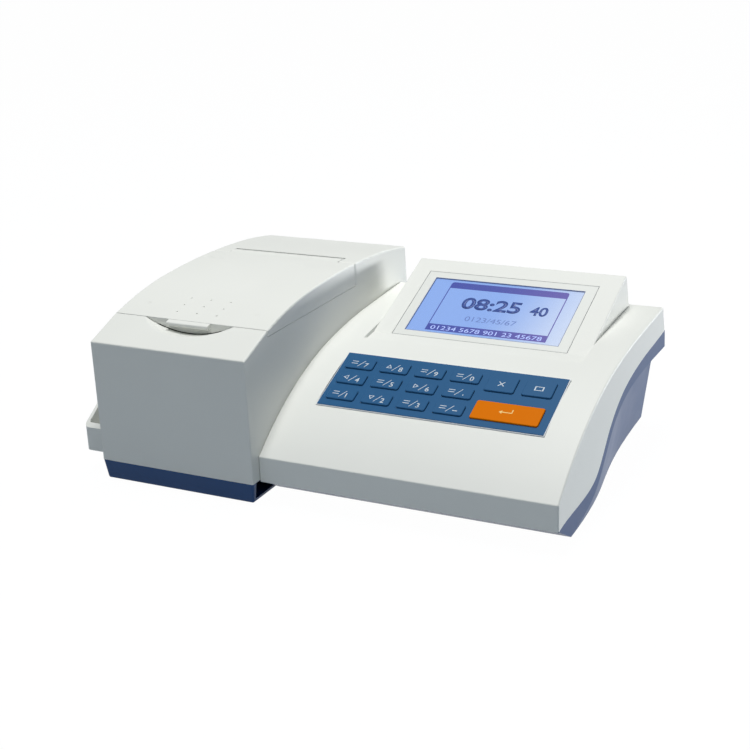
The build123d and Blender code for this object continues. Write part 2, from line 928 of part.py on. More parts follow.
def make_key(box):
    """Key cap with a crowned edge, a flange under the carrier and a stem."""
    pad = keypad_plane()
    cap = on_plane(pad, *box, -carrier_depth, key_rise, key_corner)
    rim = cap.faces().sort_by(lambda face: face.center().dot(pad.z_dir))[-1].edges()
    cap = chamfer(rim, 0.35)
    low = -carrier_depth - key_flange_thick
    cap += on_plane(pad, *grown(box, key_flange), low, -carrier_depth, key_corner)
    x, s = (box[0] + box[1]) / 2, (box[2] + box[3]) / 2
    cap += rod_on(pad, 2.0, x, s, low - key_stem_length, key_stem_length)
    return cap


def make_keypad_overlay():
    """Blue printed sheet round the keys."""
    sheet = on_plane(
        keypad_plane(), 0, keypad_width, 0, keypad_height, -overlay_thick, 0
    )
    return sheet - key_holes()


def key_holes():
    """Clearance holes of all keys."""
    pad = keypad_plane()
    corner = key_corner + key_gap
    return [on_plane(pad, *grown(box, key_gap), -9, 9, corner) for box in key_boxes().values()]


def make_keypad_carrier():
    """Pale plate under the blue sheet, a little larger so that it shows as a border."""
    plate = on_plane(
        keypad_plane(),
        -carrier_border,
        keypad_width + carrier_border,
        -carrier_border,
        keypad_height + carrier_border,
        -carrier_depth,
        -overlay_thick,
    )
    return plate - key_holes()


def switch_floor():
    """Depth of the keypad board's top: key stems stop on the switches at full travel."""
    stem_end = carrier_depth + key_flange_thick + key_stem_length
    return stem_end + key_travel + touch_gap + switch_height


def make_keypad_board():
    """Board under the keys, hung from the cover's keypad seat by two rails."""
    pad = keypad_plane()
    deep = switch_floor()
    board = on_plane(pad, 0, keypad_width, 1, keypad_height - 1, -deep - board_thick, -deep)
    for x in (0, keypad_width - seat_ledge):
        board += on_plane(pad, x, x + seat_ledge, 4, keypad_height - 4, -deep, -opening_floor)
    return board


def make_key_switches():
    """One tactile switch under each key."""
    pad = keypad_plane()
    deep = switch_floor()
    switches = []
    for box in key_boxes().values():
        x, s = (box[0] + box[1]) / 2, (box[2] + box[3]) / 2
        body = on_plane(pad, x - 3, x + 3, s - 3, s + 3, -deep, -deep + switch_height - 0.7)
        switches.append(body + rod_on(pad, 1.7, x, s, -deep + switch_height - 0.7, 0.7))
    return Compound(children=switches)


def side_hollow(inset=0.0):
    """Concave hollow under the blue band on the right side."""
    reach = 30.0
    curve = [(console_right - sink - inset, y) for y, sink in hollow_floor]
    floor = [Spline(*curve).edge()]
    corners = [curve[-1], (console_right + reach, curve[-1][1])]
    corners += [(console_right + reach, curve[0][1]), curve[0]]
    floor += [Line(a, b).edge() for a, b in zip(corners, corners[1:])]
    lean = tan(radians(hollow_lean))
    start = Pos(-lean * 5, 0, -5) * Face(Wire(floor))
    outside = extrude(start, 100, dir=(lean, 0, 1))
    top = [(y, z + inset) for y, z in band_curve]
    under = [Spline(*top).edge()]
    corners = [top[-1], (top[-1][0], -6), (top[0][0], -6), top[0]]
    under += [Line(a, b).edge() for a, b in zip(corners, corners[1:])]
    hollow = outside & across(side_face(under), console_right - 60, console_right + 20)
    ridge = [
        edge
        for edge in hollow.edges().filter_by(GeomType.BSPLINE)
        if edge.center().Z > hollow_round and edge.center().X < console_right + 1
    ]
    return fillet(ridge, hollow_round)


def base_console_face():
    """Side outline of the base under the console."""
    points = split_points()
    front = (console_front + undercut_step, console_lip_bottom - 0.6)
    corners = [points[-1], (console_rear_low, 0), (undercut_y, 0), front, points[0]]
    sides = [Line(a, b).edge() for a, b in zip(corners, corners[1:])]
    return side_face([Spline(*points).edge()] + sides)


def base_hollow_face():
    """Side outline of the room inside the base, open at the top."""
    slope = console_lip_bottom / (undercut_y - console_front - undercut_step)
    shift = base_wall * sqrt(1 + slope * slope) / slope
    front_y = console_front + undercut_step + shift
    rear_y = split_rear_y - base_wall
    ceiling = split_rear_z + 40
    points = [
        (undercut_y + shift - base_wall / slope, base_wall),
        (front_y, console_lip_bottom - 0.6),
        (front_y, ceiling),
        (rear_y, ceiling),
        (rear_y, split_rear_z),
        (console_rear_low - base_wall, base_wall),
    ]
    return side_face(polygon(points))


def base_low_tray():
    """Low tray under the chamber, its sides leaning in towards the bottom."""
    top = Pos(chamber_width / 2, chamber_rear_low / 2, base_top) * Rectangle(
        chamber_width, chamber_rear_low
    )
    draft = degrees(asin(base_inset / base_top))
    low = extrude(top, base_top, dir=(0, 0, -1), taper=draft)
    return fillet([edge for edge in low.edges() if edge.center().Z < base_top - 1], base_corner)


def make_base_tray():
    """Blue base: low tray under the chamber and raised sides and rear under the console."""
    side = base_wall + base_inset
    high = across(base_console_face(), console_left, console_right) - side_hollow()
    bridge = block(
        console_left - 8, console_left + 2, undercut_y + 4, console_rear_low - 1, 0, base_top
    )
    base = base_low_tray() + high + bridge
    hollow = across(base_hollow_face(), console_left - 1, console_right - base_wall)
    base -= hollow - side_hollow(base_wall)
    base -= block(
        side, console_left, side, console_rear_low - base_wall, base_wall, split_rear_z
    )
    base -= block(
        console_left - 3, console_left + 6, undercut_y + 8, console_rear_low - 12, base_wall, base_top
    )
    base += socket_pocket_walls()
    base -= socket_pocket()
    spots = chamber_posts + console_posts
    boss_rise = post_foot_z - base_wall
    base += [rod(post_radius + 0.8, (x, y, base_wall), (0, 0, 1), boss_rise) for x, y in spots]
    corners = board_corners(main_board_at, main_board_size)
    corners += board_corners(optics_board_at, optics_board_size)
    base += [standoff(corner) for corner in corners]
    head_room = screw_head_radius + fit_gap
    cuts = [rod(screw_radius + touch_gap, (x, y, -1), (0, 0, 1), post_foot_z + 2) for x, y in spots]
    cuts += [rod(head_room, (x, y, -1), (0, 0, 1), 1 + screw_seat) for x, y in spots]
    cuts += [rod(foot_radius, (x, y, -1), (0, 0, 1), 1 + foot_socket) for x, y in foot_spots]
    return base - (cuts + socket_holes())


def board_corners(at, size):
    """Screw corners of a board, inset from its edges."""
    xs = (at[0] + standoff_inset, at[0] + size[0] - standoff_inset)
    ys = (at[1] + standoff_inset, at[1] + size[1] - standoff_inset)
    return [(x, y) for x in xs for y in ys]


def standoff(spot):
    """Hollow pillar for a board screw."""
    pillar = rod(standoff_radius, (*spot, base_wall), (0, 0, 1), standoff_height)
    return pillar - rod(1.2 + touch_gap, (*spot, base_wall + 0.5), (0, 0, 1), standoff_height)


def socket_pocket():
    """Recess in the rear wall where the sockets and the switch sit."""
    floor_y = console_rear_low - socket_recess
    return block(
        recess_left,
        recess_left + recess_width,
        floor_y,
        console_rear_low + 5,
        recess_bottom,
        recess_bottom + recess_height,
    )


def socket_pocket_walls():
    """Plastic behind the recess."""
    floor_y = console_rear_low - socket_recess
    return block(
        recess_left - base_wall,
        recess_left + recess_width + base_wall,
        floor_y - base_wall,
        console_rear_low - base_wall,
        recess_bottom - base_wall,
        recess_bottom + recess_height + base_wall,
    )


def panel_y():
    """Outer face of the recessed socket panel."""
    return console_rear_low - socket_recess


def socket_holes():
    """Cut-outs for the serial socket, the rocker switch and the power jack."""
    face = panel_y()
    serial = block(serial_x - 9.5, serial_x + 9.5, face - 9, face + 1, socket_z - 5, socket_z + 5)
    width, height = rocker_size
    rocker = block(
        rocker_x - width / 2 - rocker_frame,
        rocker_x + width / 2 + rocker_frame,
        face - 9,
        face + 1,
        socket_z - height / 2 - rocker_frame,
        socket_z + height / 2 + rocker_frame,
    )
    jack = rod(jack_radius, (inlet_x, face - 9, socket_z), (0, 1, 0), 12)
    return [serial, rocker, jack]


def make_side_tray():
    """Open tray on the chamber's left side, its rim rising towards the back."""
    rear = tray_front_y + tray_length
    rise = tray_rim_top - tray_front_top
    bend = tray_front_y + rise / tan(radians(tray_rim_slope))
    points = [
        (tray_front_y, base_top),
        (tray_front_y, tray_front_top),
        (bend, tray_rim_top),
        (rear, tray_rim_top),
        (rear, base_top),
    ]
    tray = across(side_face(polygon(points)), -tray_width, 0)
    corners = tray.edges().filter_by(Axis.Z).sort_by(Axis.X)[:2]
    tray = fillet(corners, tray_corner)
    pocket = block(
        -tray_width + tray_wall,
        -tray_wall,
        tray_front_y + tray_front_wall,
        rear - tray_wall,
        base_top + tray_wall,
        tray_rim_top + 20,
    )
    pocket = fillet(pocket.edges().filter_by(Axis.Z), tray_corner - tray_wall)
    tray -= pocket
    return tray - tray_screw_holes()


def tray_screw_ys():
    """Where the tray is screwed to the chamber."""
    return tray_front_y + tray_length * 0.45, tray_front_y + tray_length * 0.85


def tray_screw_z():
    """Height of the tray's screws."""
    return tray_front_top + 8.0


def tray_screw_holes():
    """Holes for the tray's screws, through its wall and the chamber's."""
    length = tray_wall + wall + 2
    starts = [(-tray_wall - 1, y, tray_screw_z()) for y in tray_screw_ys()]
    return [rod(screw_radius + touch_gap, start, (1, 0, 0), length) for start in starts]


def make_tray_screws():
    """Two screws from the tray into the chamber's wall."""
    screws = []
    for y in tray_screw_ys():
        start = (-tray_wall, y, tray_screw_z())
        shank = rod(screw_radius, start, (1, 0, 0), tray_wall + wall)
        screws.append(shank + rod(screw_head_radius, start, (-1, 0, 0), 1.6))
    return Compound(children=screws)


def make_hinge_pin():
    """Steel pin through the tub's cheeks and the lid's tongue."""
    return rod(pin_radius, (0.2, axis_y, axis_z), (1, 0, 0), chamber_width - pin_end_gap - 0.4)


def make_base_screws():
    """Screws that hold both covers on the base."""
    screws = []
    for x, y in chamber_posts + console_posts:
        low = screw_seat - screw_head_height
        head = rod(screw_head_radius, (x, y, low), (0, 0, 1), screw_head_height)
        drive = rod(1.0, (x, y, low - 0.1), (0, 0, 1), 1.0)
        shank_length = post_foot_z + screw_bite - screw_seat
        shank = rod(screw_radius, (x, y, screw_seat), (0, 0, 1), shank_length)
        screws.append(head + shank - drive)
    return Compound(children=screws)


def make_feet():
    """Rubber feet, each in a shallow socket."""
    feet = []
    for x, y in foot_spots:
        foot = rod(foot_radius, (x, y, -foot_rise), (0, 0, 1), foot_rise + foot_socket)
        rim = foot.edges().filter_by(GeomType.CIRCLE).sort_by(Axis.Z)[:1]
        feet.append(chamfer(rim, 0.8))
    return Compound(children=feet)


def board_level():
    """Underside of the boards on their pillars."""
    return base_wall + standoff_height


def make_board(at, size):
    """Flat board with its screw holes."""
    low = board_level()
    board = block(at[0], at[0] + size[0], at[1], at[1] + size[1], low, low + board_thick)
    board = fillet(board.edges().filter_by(Axis.Z), 2.0)
    for spot in board_corners(at, size):
        board -= rod(1.2 + touch_gap, (*spot, low - 1), (0, 0, 1), board_thick + 2)
    return board


def make_board_screws():
    """Screws of both boards."""
    top = board_level() + board_thick
    screws = []
    spots = board_corners(main_board_at, main_board_size)
    spots += board_corners(optics_board_at, optics_board_size)
    for spot in spots:
        shank = rod(1.2, (*spot, base_wall + 1.0), (0, 0, 1), top - base_wall - 1.0)
        screws.append(shank + rod(2.4, (*spot, top), (0, 0, 1), 1.6))
    return Compound(children=screws)


def board_spot(at, size, share):
    """A point on a board, given as shares of its width and depth."""
    return at[0] + size[0] * share[0], at[1] + size[1] * share[1]


def make_board_chips():
    """Packages, plugs and capacitors on the main board."""
    top = board_level() + board_thick
    made = []
    for across_share, deep_share, width, depth, height in chips:
        x, y = board_spot(main_board_at, main_board_size, (across_share, deep_share))
        made.append(
            block(x - width / 2, x + width / 2, y - depth / 2, y + depth / 2, top, top + height)
        )
    for share in capacitors:
        x, y = board_spot(main_board_at, main_board_size, share)
        made.append(rod(capacitor_radius, (x, y, top), (0, 0, 1), capacitor_height))
    return Compound(children=made)


def make_clock_battery():
    """Coin cell in its holder, which keeps the clock running."""
    top = board_level() + board_thick
    x, y = board_spot(main_board_at, main_board_size, battery_spot)
    holder = rod(battery_radius + 1.5, (x, y, top), (0, 0, 1), battery_seat)
    return holder + rod(battery_radius, (x, y, top + battery_seat), (0, 0, 1), battery_thick)


def make_preamp_shield():
    """Metal can over the detector amplifier."""
    top = board_level() + board_thick
    x, y = board_spot(optics_board_at, optics_board_size, shield_spot)
    half_w, half_d, height = shield_size[0] / 2, shield_size[1] / 2, shield_size[2]
    can = block(x - half_w, x + half_w, y - half_d, y + half_d, top, top + height)
    can = fillet(can.edges().filter_by(Axis.Z), 2.0)
    in_w, in_d = half_w - shield_skin, half_d - shield_skin
    return can - block(x - in_w, x + in_w, y - in_d, y + in_d, top - 1, top + height - shield_skin)


def make_signal_cable():
    """Flat cable from the optics board to the main board, with its two plugs."""
    top = board_level() + board_thick
    y0, y1 = cable_spot
    left = optics_board_at[0] + optics_board_size[0] - cable_plug_inset
    right = main_board_at[0] + cable_plug_inset
    flat = top + cable_plug_height / 2
    cable = block(left, right, y0 + 1, y1 - 1, flat, flat + cable_thick)
    cable += block(left - cable_plug_width, left, y0, y1, top, top + cable_plug_height)
    cable += block(right, right + cable_plug_width, y0, y1, top, top + cable_plug_height)
    return cable


def make_serial_port():
    """Nine-pin data socket in the rear panel."""
    face = panel_y()
    flange = block(serial_x - 15.4, serial_x + 15.4, face, face + 1.0, socket_z - 6.2, socket_z + 6.2)
    flange = fillet(flange.edges().filter_by(Axis.Y), 1.5)
    body = block(serial_x - 9.5, serial_x + 9.5, face - 9, face, socket_z - 5, socket_z + 5)
    half_top, half_low, half_high = 8.4, 7.4, 4.1
    shell = Polyline(
        (serial_x - half_top, socket_z + half_high),
        (serial_x + half_top, socket_z + half_high),
        (serial_x + half_low, socket_z - half_high),
        (serial_x - half_low, socket_z - half_high),
        close=True,
    )
    plane = Plane(origin=(0, face + 1.0, 0), x_dir=(1, 0, 0), z_dir=(0, -1, 0))
    nose = extrude(plane * Face(Wire(shell.edges())), -5.0)
    port = flange + body + nose
    for row, count in ((1.4, 5), (-1.4, 4)):
        for i in range(count):
            x = serial_x + (i - (count - 1) / 2) * 2.76
            port -= rod(0.6, (x, face + 7.0, socket_z + row), (0, -1, 0), 5.0)
    for side in (-12.5, 12.5):
        post = extrude(
            Plane(origin=(serial_x + side, face + 1.0, socket_z), z_dir=(0, 1, 0))
            * RegularPolygon(2.6, 6),
            4.5,
        )
        port += post - rod(1.4, (serial_x + side, face + 6.0, socket_z), (0, -1, 0), 5.0)
    return port


def make_power_jack():
    """Round low-voltage inlet with its centre pin."""
    face = panel_y()
    body = rod(jack_radius, (inlet_x, face - jack_depth + 1.5, socket_z), (0, 1, 0), jack_depth)
    nut = extrude(
        Plane(origin=(inlet_x, face, socket_z), z_dir=(0, 1, 0)) * RegularPolygon(8.0, 6), 2.0
    )
    body += nut
    body -= rod(jack_bore, (inlet_x, face + 3, socket_z), (0, -1, 0), jack_depth - 0.5)
    pin_start = (inlet_x, face - jack_depth + 1.6, socket_z)
    return body + rod(jack_pin, pin_start, (0, 1, 0), jack_depth - 2.5)


def make_switch_frame():
    """Fixed frame of the rocker switch."""
    face = panel_y()
    width, height = rocker_size
    outer_w, outer_h = width / 2 + rocker_frame, height / 2 + rocker_frame
    body = block(
        rocker_x - outer_w, rocker_x + outer_w, face - 12, face, socket_z - outer_h, socket_z + outer_h
    )
    flange = block(
        rocker_x - outer_w - 1.4,
        rocker_x + outer_w + 1.4,
        face,
        face + 1.4,
        socket_z - outer_h - 1.4,
        socket_z + outer_h + 1.4,
    )
    body += chamfer(flange.faces().sort_by(Axis.Y)[-1].edges(), 0.5)
    half_w, half_h = width / 2 + fit_gap, height / 2 + 4 * fit_gap
    body -= block(
        rocker_x - half_w, rocker_x + half_w, face - 9, face + 2, socket_z - half_h, socket_z + half_h
    )
    start = (rocker_x - half_w - 1.0, face - 3.0, socket_z)
    body -= rod(rocker_pin + running_gap, start, (1, 0, 0), 2 * half_w + 2.0)
    return body


def make_rocker():
    """Moving rocker with its two faces meeting in a valley, and pivot stubs."""
    face = panel_y()
    width, height = rocker_size
    half = height / 2
    lean = tan(radians(rocker_tilt))
    points = [
        (face - 5.2, socket_z - half),
        (face + 1.6, socket_z - half),
        (face + 1.6 - half * lean * 0.5, socket_z),
        (face + 1.6 + half * lean * 0.9, socket_z + half),
        (face - 3.6, socket_z + half),
        (face - 6.4, socket_z),
    ]
    rocker = across(side_face(polygon(points)), rocker_x - width / 2, rocker_x + width / 2)
    stub = width / 2 + fit_gap + 0.8
    rocker += rod(rocker_pin, (rocker_x - stub, face - 3.0, socket_z), (1, 0, 0), 2 * stub)
    return rocker


def build_all():
    """Make and save every piece."""
    save("base_tray", make_base_tray())
    save("chamber_housing", make_chamber_housing())
    save("side_tray", make_side_tray())
    save("tray_screws", make_tray_screws())
    save("console_cover", make_console_cover())
    save("chamber_lid", make_lid())
    save("lid_liner", make_lid_liner())
    save("liner_screws", make_lid_screws())
    save("light_seal", make_light_seal())
    save("hinge_pin", make_hinge_pin())
    save("chamber_deck", make_deck())
    save("well_collar", make_collar())
    save("cell_holder", make_cell_holder())
    for name in ("lamp", "transmission", "scatter"):
        save(f"{name}_tube", make_optic_tube(name))
    save("lamp_lens", make_lens())
    save("lamp_module", make_sensor_cap("lamp", led_radius))
    save("transmission_detector", make_sensor_cap("transmission", 4.1))
    save("scatter_detector", make_sensor_cap("scatter", 4.1))
    save("display_bezel", make_display_bezel())
    save("display_window", make_display_window())
    save("display_glass", make_display_glass())
    save("display_module", make_display_module())
    save("module_screws", make_module_screws())
    save("keypad_overlay", make_keypad_overlay())
    save("keypad_carrier", make_keypad_carrier())
    for name, box in key_boxes().items():
        save(name, make_key(box))
    save("key_switches", make_key_switches())
    save("keypad_board", make_keypad_board())
    save("main_board", make_board(main_board_at, main_board_size))
    save("board_chips", make_board_chips())
    save("clock_battery", make_clock_battery())
    save("optics_board", make_board(optics_board_at, optics_board_size))
    save("preamp_shield", make_preamp_shield())
    save("board_screws", make_board_screws())
    save("signal_cable", make_signal_cable())
    save("serial_port", make_serial_port())
    save("power_jack", make_power_jack())
    save("switch_frame", make_switch_frame())
    save("power_rocker", make_rocker())
    save("base_screws", make_base_screws())
    save("rubber_feet", make_feet())


build_all()
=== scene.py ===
from math import cos, pi, radians, sin, sqrt

import bmesh
import bpy
from bpy.props import FloatProperty, FloatVectorProperty, PointerProperty, StringProperty
from mathutils import Matrix, Vector


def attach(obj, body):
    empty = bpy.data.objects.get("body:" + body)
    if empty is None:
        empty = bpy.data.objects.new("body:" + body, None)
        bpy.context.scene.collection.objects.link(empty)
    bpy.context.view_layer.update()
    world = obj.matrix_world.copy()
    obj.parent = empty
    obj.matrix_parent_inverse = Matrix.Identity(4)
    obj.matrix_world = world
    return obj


bl_info = {
    "name": "Bench turbidity meter",
    "version": (1, 0, 0),
    "blender": (4, 5, 0),
    "location": "3D View > Sidebar > Meter",
    "description": "Dresses the packed bench meter with finishes, display picture and key marks",
    "category": "Object",
}

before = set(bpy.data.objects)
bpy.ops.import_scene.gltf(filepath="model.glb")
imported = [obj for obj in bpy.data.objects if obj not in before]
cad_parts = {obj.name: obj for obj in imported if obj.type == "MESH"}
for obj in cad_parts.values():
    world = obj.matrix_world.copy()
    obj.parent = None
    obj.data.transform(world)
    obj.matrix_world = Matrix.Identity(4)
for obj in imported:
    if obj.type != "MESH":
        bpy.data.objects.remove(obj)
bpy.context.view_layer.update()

MM = 0.001
WHITE = (1.0, 1.0, 1.0, 1.0)
BLACK = (0.0, 0.0, 0.0, 1.0)
# The base's lower left front corner, from which the part's source measures, in millimetres.
BASE_CORNER = Vector((-147.6, -118.5, 3.0))

# Slanted faces of the console, each with a point on it and its tilt in degrees.
DISPLAY_ORIGIN = Vector((-147.6, 13.07, 81.14)) * MM
DISPLAY_TILT = 21.6
KEYPAD_ORIGIN = Vector((-7.6, -72.4, 58.85)) * MM
KEYPAD_TILT = 21.8

# The window and the frame round it, in millimetres on the display's face.
WINDOW_LEFT = 160.6
WINDOW_LOW = 5.9
WINDOW_WIDTH = 109.9
WINDOW_HEIGHT = 58.7
BEZEL_LEFT = 153.2
BEZEL_WIDTH = 125.3
BEZEL_HEIGHT = 71.4

# The chamber's slanted top ends here and the dome's first arc begins, in millimetres.
SLOPE_END_Y = 29.3
SLOPE_END_Z = 107.2
CHAMBER_SLOPE = 16.34
DOME_RADIUS = 277.2


class Value:
    """A socket of a shader tree that can be used in sums."""

    def __init__(self, tree, socket):
        self.tree = tree
        self.socket = socket

    def math(self, operation, *others):
        values = dict(enumerate((self,) + others))
        return add_node(self.tree, "ShaderNodeMath", {"operation": operation}, values)["Value"]

    def __add__(self, other):
        return self.math("ADD", other)

    __radd__ = __add__

    def __mul__(self, other):
        return self.math("MULTIPLY", other)

    __rmul__ = __mul__

    def __sub__(self, other):
        return self.math("SUBTRACT", other)

    def __rsub__(self, other):
        return self * -1.0 + other

    def size(self):
        return self.math("ABSOLUTE")

    def most(self, other):
        return self.math("MAXIMUM", other)

    def rise(self, low, high):
        """0 below low, 1 above high, smooth between."""
        settings = {"interpolation_type": "SMOOTHSTEP"}
        values = {"Value": self, "From Min": low, "From Max": high}
        return add_node(self.tree, "ShaderNodeMapRange", settings, values)["Result"]


def put(tree, socket, item):
    """Set a socket to a number or colour, or link a value to it."""
    if isinstance(item, Value):
        tree.links.new(item.socket, socket)
    else:
        socket.default_value = item


def add_node(tree, kind, settings=None, values=None):
    """Add a node: settings first, then socket values or links. Returns its outputs."""
    node = tree.nodes.new(kind)
    for key, item in (settings or {}).items():
        setattr(node, key, item)
    for key, item in (values or {}).items():
        put(tree, node.inputs[key], item)
    return {output.identifier: Value(tree, output) for output in node.outputs}


class Finish:
    """A material whose nodes are added one call at a time."""

    # Places of the colour sockets among a Mix node's inputs.
    MIX_FACTOR, MIX_FIRST, MIX_SECOND = 0, 6, 7

    def __init__(self, name):
        self.material = bpy.data.materials.new(name)
        self.material.use_nodes = True
        self.tree = self.material.node_tree
        self.shader = self.tree.nodes["Principled BSDF"]
        self.place = self.node("ShaderNodeTexCoord")["Object"]

    def node(self, kind, settings=None, values=None):
        return add_node(self.tree, kind, settings, values)

    def noise(self, scale, detail=2.0, rough=0.5):
        values = {"Vector": self.place, "Scale": scale, "Detail": detail, "Roughness": rough}
        return self.node("ShaderNodeTexNoise", None, values)["Fac"]

    def axes(self):
        parts = self.node("ShaderNodeSeparateXYZ", None, {"Vector": self.place})
        return parts["X"], parts["Y"], parts["Z"]

    def blend(self, factor, first, second):
        """Mix two colours."""
        values = {self.MIX_FACTOR: factor, self.MIX_FIRST: first, self.MIX_SECOND: second}
        return self.node("ShaderNodeMix", {"data_type": "RGBA"}, values)["Result_Color"]

    def bump(self, height, strength, distance):
        values = {"Height": height, "Strength": strength, "Distance": distance}
        return self.node("ShaderNodeBump", None, values)["Normal"]

    def set(self, **values):
        """Set the shader's sockets, named with _ for each space, and return the material."""
        for key, item in values.items():
            put(self.tree, self.shader.inputs[key.replace("_", " ")], item)
        return self.material


def rgba(color, shade=1.0):
    return (color[0] * shade, color[1] * shade, color[2] * shade, 1.0)


def moulded(name, color, rough=0.45, grain=0.00002, grain_scale=2600.0, mottle=0.04, sheen=0.35):
    """Moulded plastic: fine spark grain, slight tone drift and patches rubbed smoother."""
    made = Finish(name)
    drift = made.noise(9.0, detail=3.0)
    worn = made.noise(38.0, detail=4.0, rough=0.6)
    spark = made.noise(grain_scale, detail=1.0)
    wear = 0.12
    return made.set(
        Base_Color=made.blend(drift, rgba(color, 1.0 - mottle), rgba(color, 1.0 + mottle / 2)),
        Roughness=worn * wear + (rough - wear / 2),
        Normal=made.bump(spark, 0.35, grain),
        Specular_IOR_Level=sheen,
    )


def metal(name, color, rough=0.3, brushed=0.0):
    """Bare or plated metal with faint drawn lines."""
    made = Finish(name)
    along, across = 200.0, 2400.0
    values = {"Vector": made.place, "Scale": (along, across, along)}
    stretch = made.node("ShaderNodeMapping", None, values)["Vector"]
    lines = made.node("ShaderNodeTexNoise", None, {"Vector": stretch, "Scale": 1.0})["Fac"]
    stain = made.noise(60.0, detail=3.0)
    stained, dulled = 0.86, 0.15
    return made.set(
        Base_Color=made.blend(stain, rgba(color, stained), rgba(color)),
        Metallic=1.0,
        Roughness=stain * dulled + lines * brushed + rough,
        Normal=made.bump(lines, 0.2, 0.00001),
    )


def clear(name, color, smear, rough, haze, sheen=0.5):
    """Clear plastic or glass with faint smears; haze is its least cover and what smears add."""
    made = Finish(name)
    smears = made.noise(**smear)
    return made.set(
        Base_Color=color,
        Roughness=smears * rough[1] + rough[0],
        Specular_IOR_Level=sheen,
        Alpha=smears * haze[1] + haze[0],
    )


def on_display(made):
    """Place on the display's face in millimetres: across, and up the slope."""
    x, y, z = made.axes()
    lean = radians(DISPLAY_TILT)
    across = (x - DISPLAY_ORIGIN.x) * (1.0 / MM)
    rise = (y - DISPLAY_ORIGIN.y) * cos(lean) + (z - DISPLAY_ORIGIN.z) * sin(lean)
    return across, rise * (1.0 / MM)


def inside(across, up, box, soft):
    """1 inside a rectangle given as left, right, low, high, and 0 outside."""
    left, right, low, high = box
    gap = (across - (left + right) / 2).size() - (right - left) / 2
    gap = gap.most((up - (low + high) / 2).size() - (high - low) / 2)
    return 1.0 - gap.rise(-soft, soft)


def color_setting(name, description, default):
    return FloatVectorProperty(
        name=name, description=description, subtype="COLOR", default=default, min=0.0, max=1.0
    )


class MeterShell(bpy.types.PropertyGroup):
    white: color_setting(
        "Shell white", "Colour of the housing, cover, lid and side tray", (0.80, 0.81, 0.77)
    )
    blue: color_setting("Base blue", "Colour of the base moulding", (0.013, 0.068, 0.205))
    grain: FloatProperty(
        name="Grain depth",
        description="Depth of the moulded grain",
        unit="LENGTH",
        default=0.00002,
        min=0.0,
    )


class MeterKeypad(bpy.types.PropertyGroup):
    sheet: color_setting(
        "Sheet blue", "Colour of the keypad sheet and its keys", (0.022, 0.104, 0.24)
    )
    enter: color_setting("Enter orange", "Colour of the large key", (0.70, 0.170, 0.0))
    mark: color_setting("Mark grey", "Colour of the marks on the blue keys", (0.62, 0.68, 0.74))
    digit_height: FloatProperty(
        name="Digit height",
        description="Height of the digits on the keys",
        unit="LENGTH",
        default=0.0042,
        min=0.001,
    )


class MeterDisplay(bpy.types.PropertyGroup):
    glow: color_setting("Display light", "Colour of the lit display", (0.27, 0.43, 0.86))
    ink: color_setting("Display ink", "Colour of the display's bars", (0.03, 0.05, 0.33))
    large: StringProperty(
        name="Large digits",
        description="Digits in the middle of the display",
        default="08:25",
    )
    small: StringProperty(
        name="Small digits",
        description="Digits to the right of the large ones",
        default="40",
    )


class MeterStudio(bpy.types.PropertyGroup):
    lens: FloatProperty(
        name="Lens",
        description="Focal length of the camera in millimetres on a 36 mm sensor",
        default=67.79,
        min=10.0,
    )
    overhead: FloatProperty(
        name="Overhead power",
        description="Power of the large lamp above, in watts",
        unit="POWER",
        default=21.5,
        min=0.0,
    )
    side: FloatProperty(
        name="Side power",
        description="Power of the low lamp at the right, in watts",
        unit="POWER",
        default=12.5,
        min=0.0,
    )


def on_face(origin, tilt, height):
    """Matrix from millimetres on a slanted face to the scene."""
    turn = Matrix.Rotation(radians(tilt), 4, "X")
    scale = Matrix.Diagonal((MM, MM, MM, 1.0))
    return Matrix.Translation(origin) @ turn @ scale @ Matrix.Translation((0.0, 0.0, height))


def new_piece(name, mesh, material, body):
    """A mesh object that rides on a body."""
    piece = bpy.data.objects.new(name, mesh)
    bpy.context.scene.collection.objects.link(piece)
    mesh.materials.clear()
    mesh.materials.append(material)
    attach(piece, body)


def new_mesh(name, form):
    """Mesh made from a bmesh, which is freed."""
    mesh = bpy.data.meshes.new(name)
    form.to_mesh(mesh)
    form.free()
    return mesh


def digits_mesh(text, height, bold):
    """Flat outline mesh of digits, its lower left corner at the origin, and its width."""
    curve = bpy.data.curves.new("digits", "FONT")
    curve.body = text
    curve.size = 1.0
    curve.offset = bold
    curve.resolution_u = 6
    holder = bpy.data.objects.new("digits", curve)
    bpy.context.scene.collection.objects.link(holder)
    bpy.context.view_layer.update()
    mesh = bpy.data.meshes.new_from_object(holder)
    bpy.data.objects.remove(holder)
    bpy.data.curves.remove(curve)
    low = [min(vertex.co[i] for vertex in mesh.vertices) for i in range(2)]
    high = [max(vertex.co[i] for vertex in mesh.vertices) for i in range(2)]
    scale = height / (high[1] - low[1])
    to_origin = Matrix.Translation((-low[0], -low[1], 0.0))
    mesh.transform(Matrix.Diagonal((scale, scale, 1.0, 1.0)) @ to_origin)
    return mesh, (high[0] - low[0]) * scale


